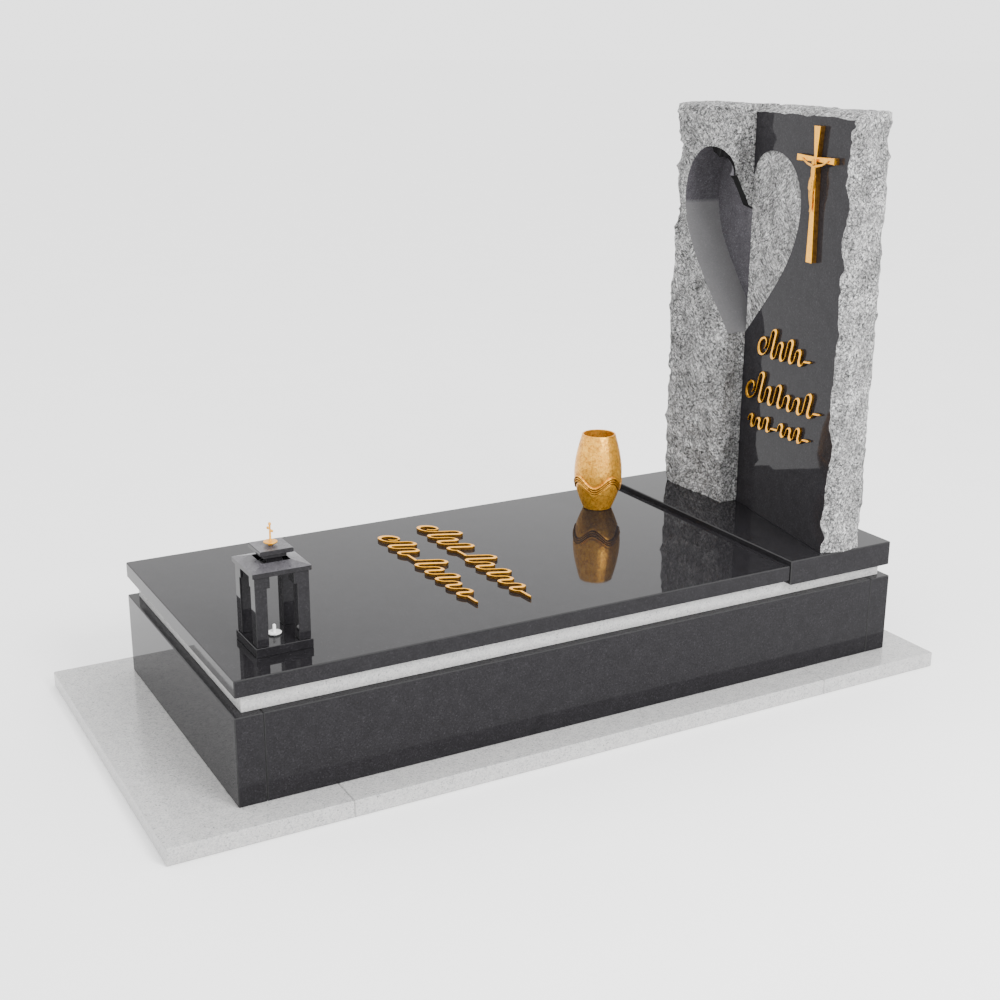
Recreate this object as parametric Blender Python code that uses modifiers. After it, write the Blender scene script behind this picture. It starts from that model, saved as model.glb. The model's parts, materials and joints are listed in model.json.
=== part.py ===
"""Heart headstone: a single-grave memorial with a two-stone headstone.

Blender 4.5, metres, +Z up. The origin is the centre of the plinth's underside.
The headstone stands at the +Y end and faces -Y; +X is the right of someone facing it.
"""
import math

import bmesh
import bpy
from mathutils import Matrix, Vector, noise

# Clearance between pieces that touch
GAP = 0.0003

# Kerb: four upright stones, whose outline sets the memorial's size
KERB_WIDTH = 0.903
KERB_LENGTH = 2.000
KERB_HEIGHT = 0.230
KERB_T = 0.071

# Plinth: four slabs that reach out beyond the kerb
PLINTH_SIDE_MARGIN = 0.095
PLINTH_FOOT_MARGIN = 0.204
PLINTH_HEAD_MARGIN = 0.106
PLINTH_T = 0.044
PLINTH_FOOT_SLAB = 0.456
PLINTH_HEAD_SLAB = 0.414
PLINTH_SIDE_SLAB = 0.250

# Pale strips: inset between the kerb and the slabs above
STRIP_INSET = 0.025
STRIP_T = 0.048
STRIP_HEIGHT = 0.050
STRIP_LOW_HEIGHT = 0.038

# Ledger and the raised slab under the headstone
LEDGER_OVERHANG = 0.0035
LEDGER_T = 0.044
LEDGER_FOOT_INSET = 0.002
BASE_SLAB_OVERHANG = 0.0075
BASE_SLAB_DEPTH = 0.367
BASE_SLAB_T = 0.0705
BASE_SLAB_HEAD_INSET = 0.014
SLAB_CHAMFER = 0.0025

# Headstone: the joint between its stones is the heart's middle line
JOINT_X = -0.078
BLOCK_WIDTH = 0.290
BLOCK_DEPTH = 0.150
BLOCK_HEIGHT = 1.214
BLOCK_FRONT_SETBACK = 0.157
PANEL_STEP_BACK = 0.064
PANEL_WIDTH = 0.535
PANEL_DEPTH = 0.135
PANEL_HEIGHT = 1.197
PANEL_TURN = math.radians(11.3)
PANEL_SIDE_ANGLE = math.radians(6.2)
ROUGH_DEPTH = 0.006
ROUGH_SCALE = 0.11
ROUGH_CROWN = 0.014

# Heart, as heights above the raised slab and half widths from the joint
HEART_TIP_H = 0.537
HEART_WIDE_H = 0.940
HEART_TOP_H = 1.083
HEART_CLEFT_H = 1.006
HEART_TOP_OUT = 0.125
HEART_LEFT_WIDTH = 0.246
HEART_RIGHT_WIDTH = 0.291
HEART_POCKET_DEPTH = 0.127
HEART_RECESS_DEPTH = 0.003

# Rough chin that the block keeps under the cleft, from its face back to the pocket's floor
CHIN_T = 0.030
CHIN_RISE = 0.040
CHIN_DROP = 0.112
CHIN_SETBACK = 0.004
CHIN_BEND = 0.050

# Cross and figure on the panel
CROSS_OUT = 0.381
CROSS_LOW_H = 0.800
CROSS_HEIGHT = 0.365
CROSS_ARM_H = 1.0775
CROSS_SPAN = 0.199
CROSS_DEPTH = 0.016
CROSS_WAIST = 0.012
CROSS_END = 0.032
CROSS_ARM_END = 0.018
FIGURE_HEIGHT = 0.150
FIGURE_REACH = 0.67
FIGURE_VOXEL = 0.0042

# Raised rows that stand where an inscription would be
STROKE_W = 0.0085
STROKE_THIN = 0.45
STROKE_RAISE = 0.009
STROKE_SLANT = 0.42
CURL_R = 0.034
CURL_TURNS = 1.15
CURL_SHRINK = 0.42

# Rows on the panel: out from the joint, height, leg spacing, then tall and low legs of each group
PANEL_ROW_TILT = math.radians(4.0)
PANEL_ROW_LINK = 0.040
PANEL_ROWS = (
    (0.258, 0.541, 0.0270, ((8, 0.085, 0.052),)),
    (0.262, 0.404, 0.0290, ((12, 0.090, 0.052),)),
    (0.250, 0.296, 0.0245, ((6, 0.036, 0.032), (6, 0.036, 0.032))),
)

# Rows on the ledger: back from its foot edge, then the groups
LEDGER_ROW_PITCH = 0.0315
LEDGER_ROW_LINK = 0.050
LEDGER_ROWS = (
    (0.883, ((6, 0.098, 0.060), (10, 0.086, 0.052))),
    (0.737, ((4, 0.078, 0.060), (10, 0.088, 0.052))),
)

# Lantern on the ledger, placed from the ledger's edges
LANTERN_SIDE_GAP = 0.1695
LANTERN_FOOT_GAP = 0.163
LANTERN_SIDE = 0.144
LANTERN_BASE_T = 0.023
LANTERN_POST = 0.030
LANTERN_POST_INSET = 0.004
LANTERN_POST_H = 0.1745
LANTERN_HEAD_OUT = 0.008
LANTERN_HEAD_H = 0.029
LANTERN_CAP_OVERHANG = 0.0015
LANTERN_CAP_T = 0.013
LANTERN_CAP_RISE = 0.009
HIP_MARGIN = 0.003
HIP_SUNK = 0.0003
CAP_RECESS_SIDE = 0.072
CAP_RECESS_DEPTH = 0.016
CAP_HOLE_SIDE = 0.044
LID_SIDE = 0.084
LID_T = 0.0115
LID_NECK_SIDE = 0.058
LID_NECK_RISE = 0.0187
LID_NECK_DROP = 0.011
LID_SHOULDER_SIDE = 0.052
LID_SHOULDER_T = 0.004
LID_PLUG_DEPTH = 0.004
LID_PLUG_CLEARANCE = 0.0015
FINIAL_R = 0.017
FINIAL_T = 0.006
FINIAL_H = 0.056
FINIAL_SPAN = 0.034
FINIAL_BAR = 0.007
FINIAL_STAND_R = 0.005
FINIAL_STAND_H = 0.0035
CANDLE_DISC_R = 0.0175
CANDLE_DISC_T = 0.005
CANDLE_R = 0.0042
CANDLE_H = 0.027

# Vase on the ledger, placed from the ledger's edges
VASE_SIDE_GAP = 0.191
VASE_HEAD_GAP = 0.1787
VASE_HEIGHT = 0.238
VASE_FOOT_R = 0.044
VASE_BELLY_R = 0.0745
VASE_BELLY_H = 0.112
VASE_MOUTH_R = 0.052
VASE_WALL = 0.005
VASE_FLOOR = 0.008
VASE_STEPS = 36

# Levels and edges worked out from the sizes above
PLINTH_TOP = PLINTH_T
KERB_BOTTOM = PLINTH_TOP + GAP
KERB_TOP = KERB_BOTTOM + KERB_HEIGHT
STRIP_BOTTOM = KERB_TOP + GAP
LEDGER_BOTTOM = STRIP_BOTTOM + STRIP_HEIGHT + GAP
LEDGER_TOP = LEDGER_BOTTOM + LEDGER_T
BASE_SLAB_BOTTOM = STRIP_BOTTOM + STRIP_LOW_HEIGHT + GAP
BASE_SLAB_TOP = BASE_SLAB_BOTTOM + BASE_SLAB_T
STONE_BOTTOM = BASE_SLAB_TOP + GAP

PLINTH_WIDTH = KERB_WIDTH + 2 * PLINTH_SIDE_MARGIN
PLINTH_LENGTH = PLINTH_FOOT_MARGIN + KERB_LENGTH + PLINTH_HEAD_MARGIN
LEDGER_WIDTH = KERB_WIDTH + 2 * LEDGER_OVERHANG
BASE_SLAB_WIDTH = KERB_WIDTH + 2 * BASE_SLAB_OVERHANG
KERB_FOOT_Y = -PLINTH_LENGTH / 2 + PLINTH_FOOT_MARGIN
KERB_HEAD_Y = KERB_FOOT_Y + KERB_LENGTH
BASE_SLAB_BACK_Y = KERB_HEAD_Y - BASE_SLAB_HEAD_INSET
BASE_SLAB_FRONT_Y = BASE_SLAB_BACK_Y - BASE_SLAB_DEPTH
BLOCK_FRONT_Y = BASE_SLAB_FRONT_Y + BLOCK_FRONT_SETBACK
PANEL_FACE_Y = BLOCK_FRONT_Y + PANEL_STEP_BACK
LEDGER_FOOT_Y = KERB_FOOT_Y + LEDGER_FOOT_INSET
LEDGER_HEAD_Y = BASE_SLAB_FRONT_Y - GAP
LANTERN_X = LEDGER_WIDTH / 2 - LANTERN_SIDE_GAP
LANTERN_Y = LEDGER_FOOT_Y + LANTERN_FOOT_GAP
VASE_X = -LEDGER_WIDTH / 2 + VASE_SIDE_GAP
VASE_Y = LEDGER_HEAD_Y - VASE_HEAD_GAP

PARTS = "heart_headstone"
CUTTERS = "cutters"

# Colours as linear RGB, with roughness and metallic value
MATERIALS = {
    "polished_granite": ((0.075, 0.075, 0.080), 0.08, 0.0),
    "rough_granite": ((0.42, 0.42, 0.41), 0.90, 0.0),
    "pale_granite": ((0.58, 0.58, 0.55), 0.45, 0.0),
    "gilt_metal": ((0.83, 0.52, 0.20), 0.30, 1.0),
    "golden_bronze": ((0.72, 0.46, 0.19), 0.42, 0.6),
    "candle_white": ((0.88, 0.88, 0.86), 0.40, 0.0),
}


def clear_scene():
    """Remove the objects of the opened scene."""
    for thing in list(bpy.data.objects):
        bpy.data.objects.remove(thing, do_unlink=True)


def make_collections():
    """Make the collection of the parts and the hidden one of the cutters."""
    for name in (PARTS, CUTTERS):
        bpy.context.scene.collection.children.link(bpy.data.collections.new(name))


def make_material(name):
    """Return the named material, made once."""
    if name in bpy.data.materials:
        return bpy.data.materials[name]
    colour, roughness, metallic = MATERIALS[name]
    material = bpy.data.materials.new(name)
    material.use_nodes = True
    shader = material.node_tree.nodes["Principled BSDF"]
    shader.inputs["Base Color"].default_value = (*colour, 1.0)
    shader.inputs["Roughness"].default_value = roughness
    shader.inputs["Metallic"].default_value = metallic
    material.diffuse_color = (*colour, 1.0)
    return material


def place(thing, material=None, collection=PARTS):
    """Put an object in one collection only, with its material."""
    for old in list(thing.users_collection):
        old.objects.unlink(thing)
    bpy.data.collections[collection].objects.link(thing)
    if material:
        thing.data.materials.clear()
        thing.data.materials.append(make_material(material))
    if collection == CUTTERS:
        thing.hide_render = True
        thing.display_type = "WIRE"
    return thing


def add_bevel(thing, width, segments=1):
    """Add a bevel to the sharp edges."""
    bevel = thing.modifiers.new("edges", "BEVEL")
    bevel.width = width
    bevel.segments = segments
    bevel.limit_method = "ANGLE"
    bevel.angle_limit = math.radians(40)
    return thing


def add_boolean(thing, other, operation="DIFFERENCE"):
    """Cut with, or join, another solid exactly."""
    boolean = thing.modifiers.new(other.name, "BOOLEAN")
    boolean.object = other
    boolean.operation = operation
    boolean.solver = "EXACT"
    return thing


def add_box(name, low, high, material, bevel=0.0, collection=PARTS):
    """Make a box between two corners."""
    size = [b - a for a, b in zip(low, high)]
    centre = [(a + b) / 2 for a, b in zip(low, high)]
    bpy.ops.mesh.primitive_cube_add(size=1.0, location=centre)
    thing = bpy.context.object
    thing.name = name
    thing.data.transform(Matrix.Diagonal((*size, 1.0)))
    place(thing, material, collection)
    if bevel:
        add_bevel(thing, bevel)
    return thing


def add_plate(name, outline, thickness, material, collection=PARTS):
    """Make a flat outline into a plate, centred on its local XY plane."""
    curve = bpy.data.curves.new(name, "CURVE")
    curve.dimensions = "2D"
    curve.fill_mode = "BOTH"
    curve.extrude = thickness / 2
    spline = curve.splines.new("POLY")
    spline.points.add(len(outline) - 1)
    for point, (x, y) in zip(spline.points, outline):
        point.co = (x, y, 0.0, 1.0)
    spline.use_cyclic_u = True
    drawn = bpy.data.objects.new(name, curve)
    mesh = bpy.data.meshes.new_from_object(drawn)
    bpy.data.objects.remove(drawn)
    solid = bmesh.new()
    solid.from_mesh(mesh)
    bmesh.ops.remove_doubles(solid, verts=solid.verts[:], dist=0.00001)
    bmesh.ops.recalc_face_normals(solid, faces=solid.faces[:])
    solid.to_mesh(mesh)
    solid.free()
    mesh.name = name
    return place(bpy.data.objects.new(name, mesh), material, collection)


def upright(thing, location):
    """Stand a plate up, its local XY plane facing -Y."""
    thing.location = location
    thing.rotation_euler = (math.pi / 2, 0.0, 0.0)
    return thing


def bezier(start, pull_a, pull_b, end, steps):
    """Return points along one cubic stretch, without its end."""
    points = []
    for i in range(steps):
        t = i / steps
        weights = ((1 - t) ** 3, 3 * t * (1 - t) ** 2, 3 * t * t * (1 - t), t ** 3)
        points.append(tuple(sum(w * p[k] for w, p in zip(weights, (start, pull_a, pull_b, end)))
                            for k in (0, 1)))
    return points


def half_heart(width, margin, steps=9):
    """Return half a heart: out from the joint is +x, height above the slab is y.

    The flat side runs past the joint by margin, so that the cut goes through it.
    """
    top = (HEART_TOP_OUT, HEART_TOP_H)
    side = (width, HEART_WIDE_H)
    cleft = (0.0, HEART_CLEFT_H)
    tip = (0.0, HEART_TIP_H)
    rise = HEART_TOP_H - HEART_WIDE_H
    drop = HEART_WIDE_H - HEART_TIP_H
    points = [(-margin, HEART_CLEFT_H)]
    points += bezier(cleft, (0.012, HEART_CLEFT_H + 0.05), (0.055, HEART_TOP_H), top, steps)
    points += bezier(top, (0.62 * width + 0.03, HEART_TOP_H), (width, HEART_WIDE_H + 0.6 * rise), side, steps)
    points += bezier(side, (width, HEART_WIDE_H - 0.36 * drop), (0.52 * width, HEART_TIP_H + 0.36 * drop),
                     tip, steps)
    points += [tip, (-margin, HEART_TIP_H)]
    return points


def slice_box(cells):
    """Return a unit cube cut into a lattice of the given cells."""
    lattice = bmesh.new()
    bmesh.ops.create_cube(lattice, size=1.0, matrix=Matrix.Translation((0.5, 0.5, 0.5)))
    for axis, count in enumerate(cells):
        normal = Vector([1.0 if k == axis else 0.0 for k in range(3)])
        for i in range(1, count):
            everything = lattice.verts[:] + lattice.edges[:] + lattice.faces[:]
            bmesh.ops.bisect_plane(lattice, geom=everything, plane_co=normal * (i / count), plane_no=normal)
    return lattice


def roughness_at(point, seed):
    """Return a smooth repeatable value of about -1 to 1."""
    return noise.noise(point / ROUGH_SCALE + Vector((seed, 0.0, 0.0)))


def rough_stone(name, plan, height, cells, rough_sides, material, seed):
    """Make an upright stone from a plan of four corners, with split outer faces.

    rough_sides names the split faces by their lattice side. Their points move in
    by up to twice ROUGH_DEPTH, and the far edges are knocked off by ROUGH_CROWN.
    """
    lattice = slice_box(cells)
    front_left, front_right, back_right, back_left = [Vector(corner) for corner in plan]
    size = Vector(((front_right - front_left).length, (back_left - front_left).length, height))
    inward = {"left": (1, 0, 0), "right": (-1, 0, 0), "front": (0, 1, 0), "back": (0, -1, 0), "top": (0, 0, -1)}
    for vertex in lattice.verts:
        u, v, w = vertex.co
        on_side = {"left": u < 0.001, "right": u > 0.999, "front": v < 0.001, "back": v > 0.999, "top": w > 0.999}
        hit = [side for side in rough_sides if on_side[side]]
        point = Vector((u * size.x, v * size.y, w * size.z))
        knocked = ROUGH_CROWN / 2 if len(hit) > 1 else 0.0
        moved = point.copy()
        for side in hit:
            depth = ROUGH_DEPTH * (1.0 + roughness_at(point, seed)) + knocked
            moved += Vector(inward[side]) * depth
        u, v = moved.x / size.x, moved.y / size.y
        flat = (front_left.lerp(front_right, u)).lerp(back_left.lerp(back_right, u), v)
        vertex.co = (flat.x, flat.y, STONE_BOTTOM + moved.z)
    bmesh.ops.recalc_face_normals(lattice, faces=lattice.faces[:])
    mesh = bpy.data.meshes.new(name)
    lattice.to_mesh(mesh)
    lattice.free()
    return place(bpy.data.objects.new(name, mesh), material)


def make_plinth():
    """Make the four slabs under the kerb."""
    half_w = PLINTH_WIDTH / 2
    half_l = PLINTH_LENGTH / 2
    foot_end = -half_l + PLINTH_FOOT_SLAB
    head_end = half_l - PLINTH_HEAD_SLAB
    stone = "pale_granite"
    add_box("plinth_foot", (-half_w, -half_l, 0), (half_w, foot_end, PLINTH_T), stone, SLAB_CHAMFER)
    add_box("plinth_head", (-half_w, head_end, 0), (half_w, half_l, PLINTH_T), stone, SLAB_CHAMFER)
    inner = half_w - PLINTH_SIDE_SLAB
    for name, x0, x1 in (("plinth_left", -half_w, -inner), ("plinth_right", inner, half_w)):
        add_box(name, (x0, foot_end + GAP, 0), (x1, head_end - GAP, PLINTH_T), stone, SLAB_CHAMFER)


def make_kerb():
    """Make the four kerb stones."""
    half = KERB_WIDTH / 2
    z0, z1 = KERB_BOTTOM, KERB_TOP
    foot_end = KERB_FOOT_Y + KERB_T
    head_end = KERB_HEAD_Y - KERB_T
    stone = "polished_granite"
    add_box("kerb_foot", (-half, KERB_FOOT_Y, z0), (half, foot_end, z1), stone, SLAB_CHAMFER)
    add_box("kerb_head", (-half, head_end, z0), (half, KERB_HEAD_Y, z1), stone, SLAB_CHAMFER)
    for name, x0, x1 in (("kerb_left", -half, -half + KERB_T), ("kerb_right", half - KERB_T, half)):
        add_box(name, (x0, foot_end + GAP, z0), (x1, head_end - GAP, z1), stone, SLAB_CHAMFER)


def make_strips():
    """Make the pale strips, lower where the raised slab lies on them."""
    half = KERB_WIDTH / 2 - STRIP_INSET
    foot = KERB_FOOT_Y + STRIP_INSET
    head = KERB_HEAD_Y - STRIP_INSET
    z0 = STRIP_BOTTOM
    high = z0 + STRIP_HEIGHT
    low = z0 + STRIP_LOW_HEIGHT
    add_box("strip_foot", (-half, foot, z0), (half, foot + STRIP_T, high), "pale_granite")
    add_box("strip_head", (-half, head - STRIP_T, z0), (half, head, low), "pale_granite")
    y0 = foot + STRIP_T + GAP
    y1 = head - STRIP_T - GAP
    step = BASE_SLAB_FRONT_Y - GAP
    outline = [(y0, z0), (y1, z0), (y1, low), (step, low), (step, high), (y0, high)]
    for name, x in (("strip_left", -half + STRIP_T / 2), ("strip_right", half - STRIP_T / 2)):
        strip = add_plate(name, outline, STRIP_T, "pale_granite")
        strip.location = (x, 0.0, 0.0)
        strip.rotation_euler = (math.pi / 2, 0.0, math.pi / 2)


def make_slabs():
    """Make the ledger and the raised slab behind it."""
    half = LEDGER_WIDTH / 2
    add_box("ledger", (-half, LEDGER_FOOT_Y, LEDGER_BOTTOM), (half, LEDGER_HEAD_Y, LEDGER_TOP),
            "polished_granite", SLAB_CHAMFER)
    half = BASE_SLAB_WIDTH / 2
    add_box("headstone_base", (-half, BASE_SLAB_FRONT_Y, BASE_SLAB_BOTTOM),
            (half, BASE_SLAB_BACK_Y, BASE_SLAB_TOP), "polished_granite", SLAB_CHAMFER)


def make_left_block():
    """Make the rough stone and cut the left half of the heart into it."""
    x1 = JOINT_X
    x0 = x1 - BLOCK_WIDTH
    y0 = BLOCK_FRONT_Y
    y1 = y0 + BLOCK_DEPTH
    plan = [(x0, y0), (x1, y0), (x1, y1), (x0, y1)]
    block = rough_stone("headstone_left_block", plan, BLOCK_HEIGHT, (4, 2, 14),
                        ("left", "front", "back", "top"), "rough_granite", seed=3.0)
    margin = 0.02
    outline = [(-x, y) for x, y in half_heart(HEART_LEFT_WIDTH, margin)]
    cutter = add_plate("left_heart_cutter", outline, HEART_POCKET_DEPTH + margin, None, CUTTERS)
    upright(cutter, (JOINT_X, y0 + (HEART_POCKET_DEPTH - margin) / 2, BASE_SLAB_TOP))
    add_boolean(block, cutter)
    add_chin(block, y0)


def add_chin(block, front):
    """Leave a rough chin under the cleft: a plate beside the joint whose lower edge falls to the back."""
    face = front + CHIN_SETBACK
    floor = front + HEART_POCKET_DEPTH
    top = BASE_SLAB_TOP + HEART_CLEFT_H
    bend = top - CHIN_DROP
    outline = [(face, top), (face + 0.5 * CHIN_BEND, top - 0.4 * CHIN_DROP), (front + CHIN_BEND, bend),
               (floor + CHIN_SETBACK, bend - 0.5 * CHIN_DROP), (floor + CHIN_SETBACK, top + CHIN_RISE),
               (face + CHIN_SETBACK, top + CHIN_RISE), (face + CHIN_SETBACK, top)]
    chin = add_plate("chin", outline, CHIN_T, None, CUTTERS)
    chin.location = (JOINT_X - ROUGH_DEPTH / 2 - CHIN_T / 2, 0.0, 0.0)
    chin.rotation_euler = (math.pi / 2, 0.0, math.pi / 2)
    add_boolean(block, chin, "UNION")


def along_panel(out, forward, height):
    """Return a point from its way along the panel's face, out of it, and above the slab."""
    c, s = math.cos(PANEL_TURN), math.sin(PANEL_TURN)
    return (JOINT_X + GAP + out * c - forward * s, PANEL_FACE_Y - out * s - forward * c, BASE_SLAB_TOP + height)


def turn_to_panel(thing, location):
    """Stand a plate up in the plane of the panel's face."""
    thing.location = location
    thing.rotation_euler = (math.pi / 2, 0.0, -PANEL_TURN)
    return thing


def make_right_panel():
    """Make the turned stone with its polished face and the rough half of the heart."""
    left_x = JOINT_X + GAP
    front_left = Vector((left_x, PANEL_FACE_Y))
    along = Vector((math.cos(PANEL_TURN), -math.sin(PANEL_TURN)))
    front_right = front_left + along * PANEL_WIDTH
    back_left = front_left + Vector((0.0, PANEL_DEPTH / math.cos(PANEL_TURN)))
    back_right = front_right + Vector((-math.sin(PANEL_SIDE_ANGLE), math.cos(PANEL_SIDE_ANGLE))) * PANEL_DEPTH
    plan = [front_left, front_right, back_right, back_left]
    panel = rough_stone("headstone_right_panel", plan, PANEL_HEIGHT, (6, 2, 14),
                        ("right", "back", "top"), "polished_granite", seed=11.0)
    margin = 0.02
    cutter = add_plate("right_heart_cutter", half_heart(HEART_RIGHT_WIDTH, margin),
                       HEART_RECESS_DEPTH + margin, None, CUTTERS)
    turn_to_panel(cutter, along_panel(0.0, (margin - HEART_RECESS_DEPTH) / 2, 0.0))
    add_boolean(panel, cutter)


def flared_cross(low, high, arm, span, waist, end, arm_end):
    """Return a cross that widens to its ends, about its crossing."""
    w = waist / 2
    e = end / 2
    a = arm_end / 2
    s = span / 2
    return [(-e, low - arm), (e, low - arm), (w, -w), (s, -a), (s, a), (w, w),
            (e, high - arm), (-e, high - arm), (-w, w), (-s, a), (-s, -a), (-w, -w)]


def make_cross():
    """Make the deep cross on the panel."""
    outline = flared_cross(CROSS_LOW_H, CROSS_LOW_H + CROSS_HEIGHT, CROSS_ARM_H, CROSS_SPAN,
                           CROSS_WAIST, CROSS_END, CROSS_ARM_END)
    cross = add_plate("cross", outline, CROSS_DEPTH, "gilt_metal")
    turn_to_panel(cross, along_panel(CROSS_OUT, GAP + CROSS_DEPTH / 2, CROSS_ARM_H))


def add_limb(body, start, end, r_start, r_end):
    """Add a rounded limb between two points to a bmesh."""
    start, end = Vector(start), Vector(end)
    turn = (end - start).to_track_quat("Z", "Y").to_matrix().to_4x4()
    middle = Matrix.Translation((start + end) / 2) @ turn
    bmesh.ops.create_cone(body, cap_ends=True, segments=12, radius1=r_start, radius2=r_end,
                          depth=(end - start).length, matrix=middle)
    for centre, radius in ((start, r_start), (end, r_end)):
        bmesh.ops.create_uvsphere(body, u_segments=12, v_segments=8, radius=radius,
                                  matrix=Matrix.Translation(centre))


def figure_limbs(height, span):
    """Return the figure's limbs about the crossing, in shares of its height: start, end and two radii."""
    hand = span / 2 * FIGURE_REACH / height
    limbs = [((0.010, 0.062, -0.055), (0.008, 0.066, -0.025), 0.042, 0.044)]
    limbs += [((0.004, 0.045, -0.100), (0.0, 0.038, -0.130), 0.030, 0.040)]
    limbs += [((0.0, 0.036, -0.145), (-0.010, 0.040, -0.290), 0.064, 0.052)]
    limbs += [((-0.012, 0.042, -0.320), (-0.020, 0.050, -0.470), 0.064, 0.076)]
    for side in (-1, 1):
        shoulder = (0.056 * side, 0.034, -0.115)
        elbow = (0.5 * (hand + 0.056) * side, 0.026, -0.085)
        limbs += [(shoulder, elbow, 0.032, 0.026), (elbow, (hand * side, 0.020, -0.015), 0.026, 0.022)]
        hip = (-0.020 + 0.030 * side, 0.050, -0.480)
        knee = (-0.010 + 0.024 * side, 0.066, -0.640)
        ankle = (-0.018 + 0.012 * side, 0.036, -0.850)
        limbs += [(hip, knee, 0.048, 0.038), (knee, ankle, 0.038, 0.026)]
        limbs += [(ankle, (-0.016 + 0.010 * side, 0.052, -0.925), 0.026, 0.022)]
    return limbs


def make_corpus():
    """Make the figure on the cross as one closed body, flat where it meets the cross."""
    body = bmesh.new()
    for start, end, r_start, r_end in figure_limbs(FIGURE_HEIGHT, CROSS_SPAN):
        ends = [Vector((p[0], -p[1], p[2])) * FIGURE_HEIGHT for p in (start, end)]
        add_limb(body, ends[0], ends[1], r_start * FIGURE_HEIGHT, r_end * FIGURE_HEIGHT)
    mesh = bpy.data.meshes.new("corpus")
    body.to_mesh(mesh)
    body.free()
    corpus = place(bpy.data.objects.new("corpus", mesh), "gilt_metal")
    corpus.location = along_panel(CROSS_OUT, 2 * GAP + CROSS_DEPTH, CROSS_ARM_H)
    corpus.rotation_euler = (0.0, 0.0, -PANEL_TURN)
    skin = corpus.modifiers.new("one skin", "REMESH")
    skin.mode = "VOXEL"
    skin.voxel_size = FIGURE_VOXEL
    size = 2 * FIGURE_HEIGHT
    back = add_box("figure_back_cutter", (-size, 0.0, -size), (size, size, size), None, 0.0, CUTTERS)
    back.data.transform(Matrix.Translation((0.0, size / 2, 0.0)))
    back.location = corpus.location
    back.rotation_euler = corpus.rotation_euler
    add_boolean(corpus, back)


def curl(radius, start_x):
    """Return an opening curl that ends at the foot of the first leg, climbing: an arc that widens."""
    steps = max(12, round(CURL_TURNS * 18))
    centre_x = start_x - radius
    points = []
    for i in range(steps):
        share = i / steps
        angle = -2 * math.pi * CURL_TURNS * (1 - share)
        reach = radius * (CURL_SHRINK + (1 - CURL_SHRINK) * share)
        points.append((centre_x + reach * math.cos(angle), radius + reach * math.sin(angle)))
    return points


def meander(groups, pitch, link, opening):
    """Return the middle line of one joined row: a curl, then slanting legs with round turns.

    groups holds the leg heights of each group; a low link of the given length joins them.
    """
    radius = pitch / 2
    line = curl(opening, 0.0) if opening else []
    x = 0.0
    for heights in groups:
        for i, height in enumerate(heights):
            up = i % 2 == 0
            ends = (0.0, height) if up else (heights[i - 1], 0.0)
            low_end = opening if opening and x == 0.0 else radius
            line.append((x, ends[0] + (low_end if up else -radius)))
            line.append((x, ends[1] - (radius if up else -radius)))
            centre_y = ends[1] - radius if up else ends[1] + radius
            for k in range(1, 6):
                angle = math.pi - math.pi * k / 6
                rise = radius * math.sin(angle)
                line.append((x + radius + radius * math.cos(angle), centre_y + (rise if up else -rise)))
            x += pitch
        line.append((x, radius))
        line.append((x + link, radius))
        x += link
    return line


def ribbon(line, width, slant):
    """Return the outline of a pen line: broad on the legs, thin across, then slanted."""
    points = [Vector(point) for point in line]
    clean = [points[0]]
    for point in points[1:]:
        if (point - clean[-1]).length > width * 0.25:
            clean.append(point)
    left, right = [], []
    for i, point in enumerate(clean):
        before = clean[max(i - 1, 0)]
        after = clean[min(i + 1, len(clean) - 1)]
        way = (after - before).normalized()
        half = width / 2 * (STROKE_THIN + (1 - STROKE_THIN) * abs(way.y))
        side = Vector((-way.y, way.x)) * half
        left.append(lean(point + side, slant))
        right.append(lean(point - side, slant))
    return left + right[::-1]


def lean(point, slant):
    """Return a point leaned to the right by its height."""
    return point.x + slant * point.y, point.y


def centred(outline):
    """Return an outline moved so that its box is centred on the origin."""
    xs = [x for x, y in outline]
    ys = [y for x, y in outline]
    mid_x, mid_y = (min(xs) + max(xs)) / 2, (min(ys) + max(ys)) / 2
    return [(x - mid_x, y - mid_y) for x, y in outline]


def leg_heights(count, tall, low):
    """Return the leg heights of one group: a tall first pair, then lower ones."""
    heights = [tall, tall]
    for i in range(count - 2):
        heights.append(low * (1.0 + 0.28 * math.sin(1.9 * (i // 2))))
    return heights


def row_outline(groups, pitch, link):
    """Return one row's outline, centred; a row of two groups or tall legs opens with a curl."""
    legs = [leg_heights(*group) for group in groups]
    tallest = groups[0][1]
    opening = CURL_R if tallest > 2 * CURL_R else 0.0
    return centred(ribbon(meander(legs, pitch, link, opening), STROKE_W, STROKE_SLANT))


def make_rows():
    """Make the raised gilt rows on the panel and on the ledger."""
    for number, (out, height, pitch, groups) in enumerate(PANEL_ROWS, 1):
        outline = row_outline(groups, pitch, PANEL_ROW_LINK)
        row = add_plate(f"panel_strokes_{number}", outline, STROKE_RAISE, "gilt_metal")
        turn_to_panel(row, along_panel(out, GAP + STROKE_RAISE / 2, height))
        row.rotation_euler.rotate_axis("Z", PANEL_ROW_TILT)
    for number, (back, groups) in enumerate(LEDGER_ROWS, 1):
        outline = row_outline(groups, LEDGER_ROW_PITCH, LEDGER_ROW_LINK)
        row = add_plate(f"ledger_strokes_{number}", outline, STROKE_RAISE, "gilt_metal")
        row.location = (0.0, LEDGER_FOOT_Y + back, LEDGER_TOP + GAP + STROKE_RAISE / 2)


def square(side, z0, z1):
    """Return the corners of a square block centred on the lantern."""
    h = side / 2
    return (LANTERN_X - h, LANTERN_Y - h, z0), (LANTERN_X + h, LANTERN_Y + h, z1)


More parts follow.
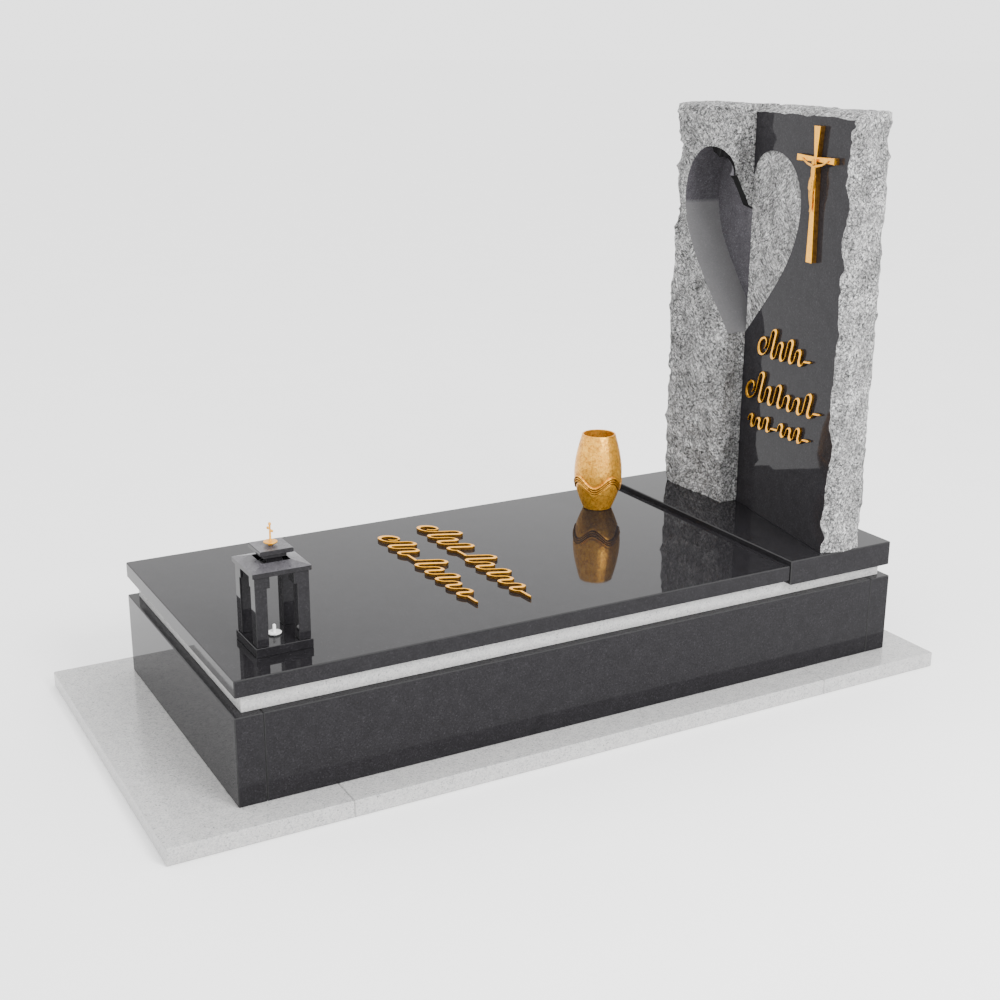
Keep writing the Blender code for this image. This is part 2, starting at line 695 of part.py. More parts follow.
def make_lantern():
    """Make the stone lantern, its lid, finial and candle."""
    stone = "polished_granite"
    base_z = LEDGER_TOP + GAP
    base_top = base_z + LANTERN_BASE_T
    post_z = base_top + GAP
    post_top = post_z + LANTERN_POST_H
    cap_z = post_top + GAP
    eaves = cap_z + LANTERN_CAP_T
    cap_top = eaves + LANTERN_CAP_RISE
    add_box("lantern_base", *square(LANTERN_SIDE, base_z, base_top), stone, 0.0015)
    number = 0
    for sx in (-1, 1):
        for sy in (-1, 1):
            number += 1
            post = add_box(f"lantern_post_{number}", *corner_box(sx, sy, LANTERN_POST, post_z, post_top), stone)
            head = add_box("post_head", *corner_box(sx, sy, LANTERN_POST + LANTERN_HEAD_OUT,
                                                    post_top - LANTERN_HEAD_H, post_top), None, 0.0, CUTTERS)
            add_boolean(post, head, "UNION")
    cap_side = LANTERN_SIDE + 2 * LANTERN_CAP_OVERHANG
    cap = add_box("lantern_cap", *square(cap_side, cap_z, eaves), stone, 0.0015)
    add_boolean(cap, add_hip("cap_hip", cap_side - 2 * HIP_MARGIN, CAP_RECESS_SIDE + 0.002, eaves, cap_top), "UNION")
    recess_z = cap_top - CAP_RECESS_DEPTH
    recess = add_box("cap_recess", *square(CAP_RECESS_SIDE, recess_z, cap_top + 0.01), None, 0.0, CUTTERS)
    hole = add_box("cap_hole", *square(CAP_HOLE_SIDE, cap_z - 0.01, cap_top + 0.01), None, 0.0, CUTTERS)
    add_boolean(cap, recess)
    add_boolean(cap, hole)
    plate_z = cap_top + LID_NECK_RISE
    lid = add_box("lantern_lid", *square(LID_SIDE, plate_z, plate_z + LID_T), stone)
    neck_z = plate_z - LID_NECK_DROP
    neck = add_box("lid_neck", *square(LID_NECK_SIDE, neck_z, plate_z + LID_T / 2), None, 0.0, CUTTERS)
    shoulder_z = recess_z + GAP
    shoulder = add_box("lid_shoulder", *square(LID_SHOULDER_SIDE, shoulder_z, shoulder_z + LID_SHOULDER_T),
                       None, 0.0, CUTTERS)
    plug_side = CAP_HOLE_SIDE - 2 * LID_PLUG_CLEARANCE
    plug = add_box("lid_plug", *square(plug_side, recess_z - LID_PLUG_DEPTH, plate_z), None, 0.0, CUTTERS)
    add_boolean(lid, neck, "UNION")
    add_boolean(lid, plug, "UNION")
    add_boolean(lid, shoulder, "UNION")
    make_finial(plate_z + LID_T + GAP)
    make_candle(base_top + GAP)


def add_hip(name, side, top_side, z0, z1):
    """Make the cap's sloping top: a square frustum that starts inside the eaves."""
    sunk = HIP_SUNK
    slope = (side - top_side) / 2 / (z1 - z0)
    bpy.ops.mesh.primitive_cone_add(vertices=4, radius1=(side / 2 + slope * sunk) * math.sqrt(2),
                                    radius2=top_side / 2 * math.sqrt(2), depth=z1 - z0 + sunk,
                                    location=(LANTERN_X, LANTERN_Y, (z1 + z0 - sunk) / 2),
                                    rotation=(0.0, 0.0, math.radians(45.0)))
    hip = bpy.context.object
    hip.name = name
    return place(hip, None, CUTTERS)


def corner_box(sx, sy, side, z0, z1):
    """Return the corners of a square block whose outer faces lie in the lantern's corner sx, sy."""
    outer = LANTERN_SIDE / 2 - LANTERN_POST_INSET
    xs = sorted((LANTERN_X + sx * outer, LANTERN_X + sx * (outer - side)))
    ys = sorted((LANTERN_Y + sy * outer, LANTERN_Y + sy * (outer - side)))
    return (xs[0], ys[0], z0), (xs[1], ys[1], z1)


def make_finial(z):
    """Make the gilt disc on its short stand, with its small cross."""
    stand = FINIAL_STAND_H
    profile = [(0.0, 0.0), (FINIAL_STAND_R, 0.0), (FINIAL_STAND_R, stand), (0.8 * FINIAL_R, stand + 0.2 * FINIAL_T),
               (FINIAL_R, stand + 0.7 * FINIAL_T), (FINIAL_R, stand + FINIAL_T), (0.0, stand + FINIAL_T)]
    finial = turned("lantern_finial", profile, (LANTERN_X, LANTERN_Y, z), 32, "gilt_metal")
    arm = 0.68 * FINIAL_H
    sunk = stand + FINIAL_T / 2
    outline = flared_cross(sunk, FINIAL_H, arm, FINIAL_SPAN, FINIAL_BAR * 0.6, FINIAL_BAR, FINIAL_BAR)
    small = add_plate("finial_cross", outline, FINIAL_BAR * 0.7, None, CUTTERS)
    upright(small, (LANTERN_X, LANTERN_Y, z + arm))
    add_boolean(finial, small, "UNION")


def turned(name, profile, location, steps, material):
    """Turn a profile of radius and height about the vertical."""
    mesh = bpy.data.meshes.new(name)
    edges = [(i, i + 1) for i in range(len(profile) - 1)]
    mesh.from_pydata([(r, 0.0, h) for r, h in profile], edges, [])
    thing = place(bpy.data.objects.new(name, mesh), material)
    thing.location = location
    screw = thing.modifiers.new("turn", "SCREW")
    screw.angle = 2 * math.pi
    screw.steps = steps
    screw.render_steps = steps
    screw.use_merge_vertices = True
    screw.merge_threshold = 0.00005
    screw.use_normal_calculate = True
    return thing


def make_candle(z):
    """Make the white candle and its dish as one turned piece."""
    profile = [(0.0, 0.0), (CANDLE_DISC_R, 0.0), (CANDLE_DISC_R, CANDLE_DISC_T), (CANDLE_R, CANDLE_DISC_T + 0.001),
               (CANDLE_R, CANDLE_H - CANDLE_R), (CANDLE_R * 0.6, CANDLE_H - CANDLE_R * 0.3), (0.0, CANDLE_H)]
    turned("lantern_candle", profile, (LANTERN_X, LANTERN_Y, z), 20, "candle_white")


def vase_radius(height):
    """Return the vase's outer radius: a sine swell to the belly, then a cosine to the mouth."""
    if height <= VASE_BELLY_H:
        return VASE_FOOT_R + (VASE_BELLY_R - VASE_FOOT_R) * math.sin(math.pi / 2 * height / VASE_BELLY_H)
    share = (height - VASE_BELLY_H) / (VASE_HEIGHT - VASE_BELLY_H)
    return VASE_MOUTH_R + (VASE_BELLY_R - VASE_MOUTH_R) * math.cos(math.pi / 2 * share)


def make_vase():
    """Make the hollow vase, empty inside its wall."""
    rings = 10
    outer = [(vase_radius(VASE_HEIGHT * i / rings), VASE_HEIGHT * i / rings) for i in range(rings + 1)]
    depth = VASE_HEIGHT - VASE_FLOOR
    heights = [VASE_HEIGHT - depth * i / rings for i in range(rings + 1)]
    inner = [(vase_radius(h) - VASE_WALL, h) for h in heights]
    profile = [(0.0, 0.0)] + outer + inner + [(0.0, VASE_FLOOR)]
    turned("vase", profile, (VASE_X, VASE_Y, LEDGER_TOP + GAP), VASE_STEPS, "golden_bronze")


def main():
    """Build every piece."""
    clear_scene()
    make_collections()
    make_plinth()
    make_kerb()
    make_strips()
    make_slabs()
    make_left_block()
    make_right_panel()
    make_cross()
    make_corpus()
    make_rows()
    make_lantern()
    make_vase()


main()
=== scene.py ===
"""Heart headstone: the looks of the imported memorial, in the frame of its CAD model.

Metres, +Z up, origin at the centre of the plinth's underside. The headstone stands
at the +Y end and faces -Y.
"""
from __future__ import annotations

import json
import logging
import math
from collections.abc import Callable
from dataclasses import dataclass, field
from enum import Enum

import bmesh
import bpy
import numpy as np
from mathutils import Matrix, Vector

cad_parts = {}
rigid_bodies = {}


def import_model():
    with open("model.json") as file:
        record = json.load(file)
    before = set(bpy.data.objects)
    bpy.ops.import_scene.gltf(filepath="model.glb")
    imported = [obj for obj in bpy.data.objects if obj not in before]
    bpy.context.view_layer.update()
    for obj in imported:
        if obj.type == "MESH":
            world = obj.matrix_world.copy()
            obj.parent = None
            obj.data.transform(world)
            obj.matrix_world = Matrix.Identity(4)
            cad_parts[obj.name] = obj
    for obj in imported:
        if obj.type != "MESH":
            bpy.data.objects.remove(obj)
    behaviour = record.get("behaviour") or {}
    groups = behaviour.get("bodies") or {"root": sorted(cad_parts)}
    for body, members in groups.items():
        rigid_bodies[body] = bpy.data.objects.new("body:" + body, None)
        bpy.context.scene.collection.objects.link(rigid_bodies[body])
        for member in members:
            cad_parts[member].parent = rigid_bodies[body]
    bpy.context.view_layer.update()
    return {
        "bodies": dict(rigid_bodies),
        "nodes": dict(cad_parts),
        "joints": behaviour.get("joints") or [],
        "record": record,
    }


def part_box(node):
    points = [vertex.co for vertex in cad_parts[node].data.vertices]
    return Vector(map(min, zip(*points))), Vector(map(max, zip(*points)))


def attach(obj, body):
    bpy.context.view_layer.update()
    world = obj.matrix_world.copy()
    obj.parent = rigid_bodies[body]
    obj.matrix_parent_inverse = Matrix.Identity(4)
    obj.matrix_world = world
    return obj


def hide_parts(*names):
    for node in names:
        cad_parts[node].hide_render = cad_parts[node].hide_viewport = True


LOG = logging.getLogger("heart_headstone")

Carry = Callable[[np.ndarray], np.ndarray]
Colour = tuple[float, float, float]
Material = bpy.types.Material
Socket = bpy.types.NodeSocket

PHOTO_SIDE_PX = 1000.0
FULL_TURN = 2 * np.pi
SIDES = ("foot", "head", "left", "right")

# Air between pieces that touch, and the attribute that holds a metal's grooves and hollows, which its material
# darkens as painted shade
GAP = 0.0003
GROOVE_SHADE = "groove"

# Faces of the two stones behind the raised slab's front edge, and behind each other
BLOCK_SET_BACK = 0.157
PANEL_SET_BACK = 0.064

# Large odd numbers that scatter the lattice points
LATTICE_STEPS = (374761393, 668265263, 2147483647)
SEED_STEP = 974711
LATTICE_MIX = 1274126177


# Numpy helpers


def smooth_step(x: np.ndarray, low: float, high: float) -> np.ndarray:
    """Return 0 below low, 1 above high and a smooth cubic between.

    Args:
        x: values to test.
        low: where the step starts.
        high: where it ends.

    Returns:
        The weight of each value.
    """
    t = np.clip((x - low) / (high - low), 0.0, 1.0)
    return t * t * (3.0 - 2.0 * t)


def bell(distance: np.ndarray, reach: float) -> np.ndarray:
    """Return 1 at no distance, falling off with the exponential of its square."""
    return np.exp(-(distance / reach) ** 2)


def lattice_value(cell: np.ndarray, seed: int) -> np.ndarray:
    """Return a repeatable value of -1 to 1 for each integer lattice point.

    The three integers are multiplied by large odd numbers, mixed by shifts and
    exclusive ors, and the low bits are scaled.

    Args:
        cell: integer array with three columns.
        seed: picks another set of values.

    Returns:
        One value for each row.
    """
    mixed = (cell.astype(np.int64) * np.array(LATTICE_STEPS)).sum(axis=-1) + seed * SEED_STEP
    mixed = (mixed ^ (mixed >> 13)) * LATTICE_MIX
    mixed = mixed ^ (mixed >> 16)
    return (mixed & 0xFFFF) / 32767.5 - 1.0


def value_noise(points: np.ndarray, size: float, seed: int = 0) -> np.ndarray:
    """Return smooth noise of -1 to 1: lattice values blended by smooth weights.

    Args:
        points: array with three columns, in metres.
        size: lattice spacing in metres.
        seed: picks another pattern.

    Returns:
        One value for each point.
    """
    scaled = np.asarray(points, float) / size
    base = np.floor(scaled).astype(np.int64)
    part = scaled - base
    weight = part * part * part * (part * (part * 6.0 - 15.0) + 10.0)
    total = np.zeros(scaled.shape[:-1])
    for corner in range(8):
        step = np.array([corner & 1, (corner >> 1) & 1, (corner >> 2) & 1])
        share = np.prod(np.where(step == 1, weight, 1.0 - weight), axis=-1)
        total += share * lattice_value(base + step, seed)
    return total


def walk(line: np.ndarray) -> np.ndarray:
    """Return the way along a line at each of its points."""
    return np.concatenate([[0.0], np.cumsum(np.linalg.norm(np.diff(line, axis=0), axis=1))])


def sample(line: np.ndarray, at: np.ndarray) -> np.ndarray:
    """Return a flat line's points at the given ways along it."""
    return np.stack([np.interp(at, walk(line), line[:, k]) for k in range(2)], axis=1)


def headings(line: np.ndarray) -> np.ndarray:
    """Return a line's unit direction at each of its points."""
    way = np.gradient(line, axis=0)
    return way / np.linalg.norm(way, axis=1, keepdims=True)


def full_circle(count: int) -> np.ndarray:
    """Return evenly spaced angles, from 0 to just under a full turn."""
    return np.linspace(0.0, FULL_TURN, count, endpoint=False)


def turned_rings(centre: tuple[float, float], radius: np.ndarray, angle: np.ndarray, height: np.ndarray
                 ) -> np.ndarray:
    """Return rings of points about an upright axis.

    Args:
        centre: where the axis stands.
        radius: one for each ring, or for each ring and angle.
        angle: the columns' angles.
        height: one for each ring.

    Returns:
        Grid of rings, columns around and coordinates.
    """
    x = centre[0] + radius * np.cos(angle)
    y = centre[1] + radius * np.sin(angle)
    return np.stack([x, y, height * np.ones_like(x)], axis=-1)


# Mesh helpers


def add_object(name: str, data: bpy.types.ID) -> bpy.types.Object:
    """Return a new object of the data, linked to the scene."""
    thing = bpy.data.objects.new(name, data)
    bpy.context.scene.collection.objects.link(thing)
    return thing


def turn_outwards(mesh: bpy.types.Mesh, merge: float = 0.0) -> None:
    """Turn a mesh's faces outwards, after merging its doubles where asked for.

    Args:
        mesh: the mesh to mend.
        merge: how near points are made one, or 0 to leave them.
    """
    body = bmesh.new()
    body.from_mesh(mesh)
    if merge:
        bmesh.ops.remove_doubles(body, verts=body.verts[:], dist=merge)
        bmesh.ops.dissolve_degenerate(body, edges=body.edges[:], dist=merge * 0.5)
    bmesh.ops.recalc_face_normals(body, faces=body.faces[:])
    body.to_mesh(mesh)
    body.free()


def read_vectors(items: bpy.types.bpy_prop_collection, key: str) -> np.ndarray:
    """Return one row of three numbers for each of a mesh's vertices or faces."""
    values = np.empty(len(items) * 3)
    items.foreach_get(key, values)
    return values.reshape(-1, 3)


def write_groove(mesh: bpy.types.Mesh, values: np.ndarray) -> None:
    """Write the values into the mesh's groove attribute, one for each vertex."""
    mesh.attributes.new(GROOVE_SHADE, "FLOAT", "POINT").data.foreach_set("value", values.astype(np.float32))


def mark_hollows(mesh: bpy.types.Mesh, gain: float, rounds: int = 6) -> None:
    """Write how hollow the surface is at each vertex into the groove attribute, which the material darkens as
    painted shade in the creases.

    The neighbours' mean height over the vertex along its normal is evened out over
    the neighbours, multiplied by the gain and clipped to 0 and 1.

    Args:
        mesh: the mesh to mark.
        gain: value for each metre.
        rounds: how often the heights are evened out.
    """
    points = read_vectors(mesh.vertices, "co")
    normals = read_vectors(mesh.vertices, "normal")
    edges = np.empty(len(mesh.edges) * 2, dtype=np.int32)
    mesh.edges.foreach_get("vertices", edges)
    start = np.concatenate([edges[::2], edges[1::2]])
    stop = np.concatenate([edges[1::2], edges[::2]])
    number = np.maximum(np.bincount(start, minlength=len(points)), 1)

    def mean(values: np.ndarray) -> np.ndarray:
        """Return the mean of each vertex's neighbours."""
        return np.bincount(start, weights=values[stop], minlength=len(points)) / number

    middle = np.stack([mean(points[:, k]) for k in range(3)], axis=1)
    height = ((middle - points) * normals).sum(axis=1)
    for _ in range(rounds):
        height = 0.5 * height + 0.5 * mean(height)
    write_groove(mesh, np.clip(height * gain, 0.0, 1.0))


def dress(thing: bpy.types.Object, slot: str, *nodes: str) -> None:
    """Let a new piece ride on the memorial and stand for its CAD nodes.

    Args:
        thing: the new piece.
        slot: the record's material slot; not used.
        *nodes: the CAD nodes that it replaces.
    """
    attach(thing, "root")
    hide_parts(*nodes)
    LOG.info("%s: %d faces", thing.name, len(thing.data.polygons))


@dataclass
class Skin:
    """Patches of quads that make one closed mesh.

    Attributes:
        points: one array of vertices for each patch.
        faces: one array of quads for each patch.
        finish: one material number for each patch.
    """

    points: list[np.ndarray] = field(default_factory=list)
    faces: list[np.ndarray] = field(default_factory=list)
    finish: list[int] = field(default_factory=list)

    def add(self, grid: np.ndarray, finish: int = 0, closed: bool = False) -> None:
        """Add a grid of points as quads.

        Args:
            grid: array of rows, columns and three coordinates.
            finish: the patch's material number.
            closed: whether the last column meets the first.
        """
        rows, columns = grid.shape[:2]
        start = sum(len(p) for p in self.points)
        number = np.arange(rows * columns).reshape(rows, columns) + start
        if closed:
            number = np.concatenate([number, number[:, :1]], axis=1)
        quads = np.stack([number[:-1, :-1], number[1:, :-1], number[1:, 1:], number[:-1, 1:]], axis=-1)
        self.points.append(grid.reshape(-1, 3))
        self.faces.append(quads.reshape(-1, 4))
        self.finish.append(finish)

    def build(self, name: str, materials: list[Material], merge: float = 0.00002, crease: float = 38.0
              ) -> bpy.types.Object:
        """Make the mesh object: doubles merged, faces outwards and shaded smooth.

        Args:
            name: the object's name.
            materials: the materials by number.
            merge: how near points are made one.
            crease: degrees between faces above which their edge stays sharp.

        Returns:
            The new object, linked to the scene.
        """
        mesh = bpy.data.meshes.new(name)
        mesh.from_pydata(np.concatenate(self.points).tolist(), [], np.concatenate(self.faces).tolist())
        numbers = np.concatenate([np.full(len(f), k) for f, k in zip(self.faces, self.finish)])
        mesh.polygons.foreach_set("material_index", numbers.astype(np.int32))
        for material in materials:
            mesh.materials.append(material)
        turn_outwards(mesh, merge)
        mesh.polygons.foreach_set("use_smooth", np.ones(len(mesh.polygons), bool))
        mesh.set_sharp_from_angle(angle=math.radians(crease))
        mesh.update()
        return add_object(name, mesh)


# Finishes


class Shade:
    """A material's node tree, written as short calls."""

    def __init__(self, name: str) -> None:
        """Make an empty material with a Principled shader."""
        self.material = bpy.data.materials.new(name)
        self.material.use_nodes = True
        self.tree = self.material.node_tree
        self.shader = self.tree.nodes["Principled BSDF"]
        self.place = self.node("TexCoord").outputs["Object"]

    def feed(self, source: Socket | float | tuple[float, ...], target: Socket) -> None:
        """Link one socket into another, or write a number, a vector or a colour there.

        Args:
            source: the socket or value.
            target: the input that takes it.
        """
        if isinstance(source, bpy.types.NodeSocket):
            self.tree.links.new(source, target)
        else:
            target.default_value = (*source, 1.0) if target.type == "RGBA" else source

    def node(self, kind: str, **inputs: Socket | float | tuple[float, ...]) -> bpy.types.Node:
        """Return a new node.

        Args:
            kind: its type, without the first word that they all share.
            **inputs: what its inputs take; underscores stand for spaces.

        Returns:
            The node.
        """
        node = self.tree.nodes.new(f"ShaderNode{kind}")
        for key, source in inputs.items():
            self.feed(source, node.inputs[key.replace("_", " ")])
        return node

    def mapping(self, scale: Colour, turn: Colour = (0.0, 0.0, 0.0)) -> Socket:
        """Return the object's coordinates in a frame that is turned and then stretched by the scale.

        Args:
            scale: the stretch along the three axes.
            turn: the turn about them.

        Returns:
            The coordinates.
        """
        node = self.node("Mapping", Vector=self.place, Scale=scale, Rotation=turn)
        node.vector_type = "TEXTURE"
        return node.outputs["Vector"]

    def noise(self, scale: float, detail: float = 2.0, rough: float = 0.5, twist: float = 0.0,
              where: Socket | None = None) -> Socket:
        """Return a noise value of about 0 to 1.

        Args:
            scale: cells to the metre.
            detail: number of finer layers.
            rough: how strong they are.
            twist: how far the pattern is distorted.
            where: coordinates, or the object's own.

        Returns:
            The value.
        """
        return self.node("TexNoise", Vector=where or self.place, Scale=scale, Detail=detail, Roughness=rough,
                         Distortion=twist).outputs["Fac"]

    def cells(self, scale: float, output: str = "Color", where: Socket | None = None) -> Socket:
        """Return Voronoi cells, scale to the metre: a random colour or the distance for each."""
        return self.node("TexVoronoi", Vector=where or self.place, Scale=scale).outputs[output]

    def ramp(self, value: Socket, stops: list[tuple[float, Colour]]) -> Socket:
        """Return a colour for a value.

        Args:
            value: the value.
            stops: places and their colours, blended evenly between them.

        Returns:
            The colour.
        """
        node = self.node("ValToRGB", Fac=value)
        elements = node.color_ramp.elements
        while len(elements) < len(stops):
            elements.new(0.5)
        for element, (spot, colour) in zip(elements, stops):
            element.position = spot
            element.color = (*colour, 1.0)
        return node.outputs["Color"]

    def span(self, value: Socket, low: float, high: float, to_low: float, to_high: float) -> Socket:
        """Return a value carried from one range to another, clamped."""
        return self.node("MapRange", Value=value, From_Min=low, From_Max=high, To_Min=to_low,
                         To_Max=to_high).outputs["Result"]

    def attribute(self, name: str) -> Socket:
        """Return a value that the mesh carries at its vertices."""
        node = self.node("Attribute")
        node.attribute_name = name
        return node.outputs["Fac"]

    def math(self, operation: str, a: Socket | float, b: Socket | float = 0.0) -> Socket:
        """Return the result of one Math node.

        Args:
            operation: what it does.
            a: its first value.
            b: its second, where it takes one.

        Returns:
            The result.
        """
        node = self.node("Math")
        node.operation = operation
        self.feed(a, node.inputs[0])
        self.feed(b, node.inputs[1])
        return node.outputs[0]

    def mix(self, share: Socket | float, a: Socket | Colour, b: Socket | Colour, blend: str = "MIX"
            ) -> Socket:
        """Return two colours mixed.

        Args:
            share: how much of the second is mixed in.
            a: the first colour.
            b: the second.
            blend: how they are mixed.

        Returns:
            The colour.
        """
        node = self.node("Mix")
        node.data_type = "RGBA"
        node.blend_type = blend
        share_input, first_input, second_input = (node.inputs[k] for k in (0, 6, 7))
        self.feed(share, share_input)
        self.feed(a, first_input)
        self.feed(b, second_input)
        return node.outputs[2]

    def clouded(self, colour: Socket, cloud: Socket, dark: tuple[float, float], light: tuple[float, float]
                ) -> Socket:
        """Return a colour multiplied by grey clouds.

        Args:
            colour: the colour.
            cloud: the noise that makes the clouds.
            dark: the noise value where they are darkest, and that grey.
            light: the same where they are lightest.

        Returns:
            The clouded colour.
        """
        stops = [(spot, grey(value)) for spot, value in (dark, light)]
        return self.mix(1.0, colour, self.ramp(cloud, stops), "MULTIPLY")

    def bump(self, height: Socket, distance: float, strength: float = 1.0, after: Socket | None = None
             ) -> Socket:
        """Return a normal from a height.

        Args:
            height: the height, of 0 to 1.
            distance: what 1 stands for, in metres.
            strength: share of the effect.
            after: another normal, which this one is laid over.

        Returns:
            The normal.
        """
        node = self.node("Bump", Height=height, Distance=distance, Strength=strength)
        if after:
            self.feed(after, node.inputs["Normal"])
        return node.outputs["Normal"]

    def facing(self) -> tuple[Socket, Socket, Socket]:
        """Return the three parts of the unsmoothed normal."""
        normal = self.node("NewGeometry").outputs["True Normal"]
        parts = self.node("SeparateXYZ", Vector=normal).outputs
        return parts[0], parts[1], parts[2]

    def chamfer(self) -> Socket:
        """Return 1 on faces that lie at a slant to all three axes, as cut edges do, else 0: the mask of the
        painted highlight on chamfers.

        The largest part of the unsmoothed normal is below 0.9 there.
        """
        x, y, z = (self.math("ABSOLUTE", part) for part in self.facing())
        return self.math("LESS_THAN", self.math("MAXIMUM", self.math("MAXIMUM", x, y), z), 0.9)

    def top_light_mask(self) -> Socket:
        """Return 1 on faces that look up and not forwards, else 0: the mask of painted light from above."""
        _, y, z = self.facing()
        aside = self.math("LESS_THAN", self.math("ABSOLUTE", y), 0.7)
        return self.math("MULTIPLY", self.span(z, 0.09, 0.14, 0.0, 1.0), aside)

    def finish(self, colour: Socket, roughness: Socket | float, normal: Socket | None = None, **numbers: float
               ) -> Material:
        """Feed the shader.

        Args:
            colour: its base colour.
            roughness: its roughness.
            normal: its normal, where one is made.
            **numbers: its other values by name.

        Returns:
            The material.
        """
        sources = {"Base Color": colour, "Roughness": roughness, "Normal": normal, **numbers}
        for key, source in sources.items():
            if source is not None:
                self.feed(source, self.shader.inputs[key])
        return self.material


def grey(value: float, warm: float = 0.0, plum: float = 0.0) -> Colour:
    """Return a grey, a little warmer or more violet for positive second and third values."""
    return value * (1.0 + warm + plum), value * (1.0 - plum), value * (1.0 - warm + plum)


@dataclass(frozen=True)
class PolishedGranite:
    """Dark granite with a mirror polish and fine crystals.

    Attributes:
        ground: the mean reflectance.
        crystal: crystals to the metre.
        gloss: the polish's roughness.
        ior: index that sets how strongly the polish mirrors.
        paints_top_light: whether faces that look up are painted paler, as light from above, in place of the
            chamfers.
        tones: shares of the crystals and their brightness against the ground.
        honed: brightness of the paler faces against the ground: the chamfers' painted highlight, and the
            painted top light where that is set.
    """

    ground: float = 0.0125
    crystal: float = 330.0
    gloss: float = 0.035
    ior: float = 1.18
    paints_top_light: bool = False
    tones: tuple[tuple[float, float], ...] = ((0.0, 0.62), (0.25, 0.86), (0.60, 1.0), (0.82, 1.25),
                                              (0.95, 1.7))
    honed: float = 3.0

    def material(self, name: str) -> Material:
        """Return the material: crystals of several tones, clouds, and a painted highlight on rougher chamfers,
        replaced by painted top light where that is set.
        """
        shade = Shade(name)
        stops = [(spot, grey(self.ground * share, -0.03, 0.04)) for spot, share in self.tones]
        colour = shade.ramp(shade.cells(self.crystal), stops)
        colour = shade.clouded(colour, shade.noise(900.0, 2.0, 0.7), (0.35, 0.78), (0.65, 1.22))
        colour = shade.clouded(colour, shade.noise(26.0, 4.0, 0.6), (0.3, 0.88), (0.7, 1.12))
        # Painted light: paler chamfers are a painted highlight; in the hollow finish, faces that look up get
        # painted light from above instead.
        edge = shade.top_light_mask() if self.paints_top_light else shade.chamfer()
        colour = shade.mix(shade.math("MULTIPLY", edge, 0.5), colour, grey(self.ground * self.honed))
        rough = shade.span(shade.noise(90.0, 3.0), 0.3, 0.7, self.gloss * 0.8, self.gloss * 1.4)
        rough = shade.math("ADD", rough, shade.math("MULTIPLY", edge, 0.12))
        ripple = shade.bump(shade.noise(16.0, 1.0), 0.00020, 0.3)
        return shade.finish(colour, rough, ripple, IOR=self.ior)


@dataclass(frozen=True)
class SplitGranite:
    """Granite as it splits: pale, sparkling and rough.

    Attributes:
        pale: reflectance of the light crystals.
        dark: reflectance of the dark ones.
        swirl: woolly streaks to the metre.
        relief: height of the fine relief in metres.
        woolly: share of the woolly streaks against the slanting ones.
        stretch: how long the slanting streaks are against their width.
        slants: how the slanting streaks of the two kinds of patch are turned.
    """

    pale: float = 0.46
    dark: float = 0.035
    swirl: float = 84.0
    relief: float = 0.0060
    woolly: float = 0.38
    stretch: float = 3.1
    slants: tuple[Colour, Colour] = ((0.5, 0.95, 0.2), (-0.6, -0.85, 0.4))

    def fibres(self, shade: Shade) -> Socket:
        """Return streaks of about 0 to 1 that lie two ways, patch by patch, and curl."""
        patch = shade.span(shade.noise(13.0, 2.0), 0.44, 0.56, 0.0, 1.0)
        parts = []
        for slant, share in zip(self.slants, (patch, shade.math("SUBTRACT", 1.0, patch))):
            frame = shade.mapping((1.0, 1.0, self.stretch), slant)
            parts.append(shade.math("MULTIPLY", shade.noise(self.swirl * 2.0, 3.0, 0.62, 0.9, frame), share))
        return shade.math("ADD", *parts)

    def material(self, name: str) -> Material:
        """Return the material: twisted streaks of light and dark crystals with a crumbly relief."""
        shade = Shade(name)
        middle = (self.pale + self.dark) / 2
        wool = shade.noise(self.swirl, 5.0, 0.62, 2.6)
        both = shade.math("ADD", shade.math("MULTIPLY", wool, self.woolly),
                          shade.math("MULTIPLY", self.fibres(shade), 1.0 - self.woolly))
        tones = shade.ramp(both, [(0.405, grey(self.dark)), (0.455, grey(middle * 0.46)),
                                  (0.495, grey(middle * 0.92)), (0.535, grey(middle * 1.52, 0.01)),
                                  (0.60, grey(min(self.pale * 1.5, 0.92)))])
        grain = shade.ramp(shade.cells(420.0), [(0.0, grey(0.50)), (0.2, grey(0.88)), (0.6, grey(1.0)),
                                                (0.9, grey(1.25))])
        colour = shade.mix(0.8, tones, grain, "MULTIPLY")
        colour = shade.clouded(colour, shade.noise(15.0, 4.0, 0.6), (0.34, 0.62), (0.66, 1.26))
        crumble = shade.bump(shade.noise(150.0, 6.0, 0.7, 0.6), self.relief * 0.6, 0.8)
        chips = shade.bump(both, self.relief * 3.0, 1.0, crumble)
        rough = shade.span(shade.noise(200.0, 2.0), 0.3, 0.7, 0.70, 0.95)
        return shade.finish(colour, rough, chips)


@dataclass(frozen=True)
class PaleGranite:
    """Polished pale granite with fine grey crystals.

    Attributes:
        pale: the mean reflectance.
        crystal: crystals to the metre.
        ior: index that sets how strongly the polish mirrors.
    """

    pale: float = 0.36
    crystal: float = 300.0
    ior: float = 1.34

    def material(self, name: str) -> Material:
        """Return the material: salt and pepper crystals under a soft polish."""
        shade = Shade(name)
        p = self.pale
        colour = shade.ramp(shade.cells(self.crystal), [(0.0, grey(p * 0.45)), (0.14, grey(p * 0.80, -0.01)),
                                                        (0.4, grey(p, 0.01)), (1.0, grey(p * 1.2, 0.02))])
        colour = shade.clouded(colour, shade.noise(700.0, 3.0, 0.7), (0.35, 0.82), (0.65, 1.14))
        colour = shade.clouded(colour, shade.noise(40.0, 4.0), (0.3, 0.93), (0.7, 1.05))
        grain = shade.noise(300.0, 2.0)
        rough = shade.span(grain, 0.3, 0.7, 0.10, 0.18)
        return shade.finish(colour, rough, shade.bump(grain, 0.00002, 0.5), IOR=self.ior)


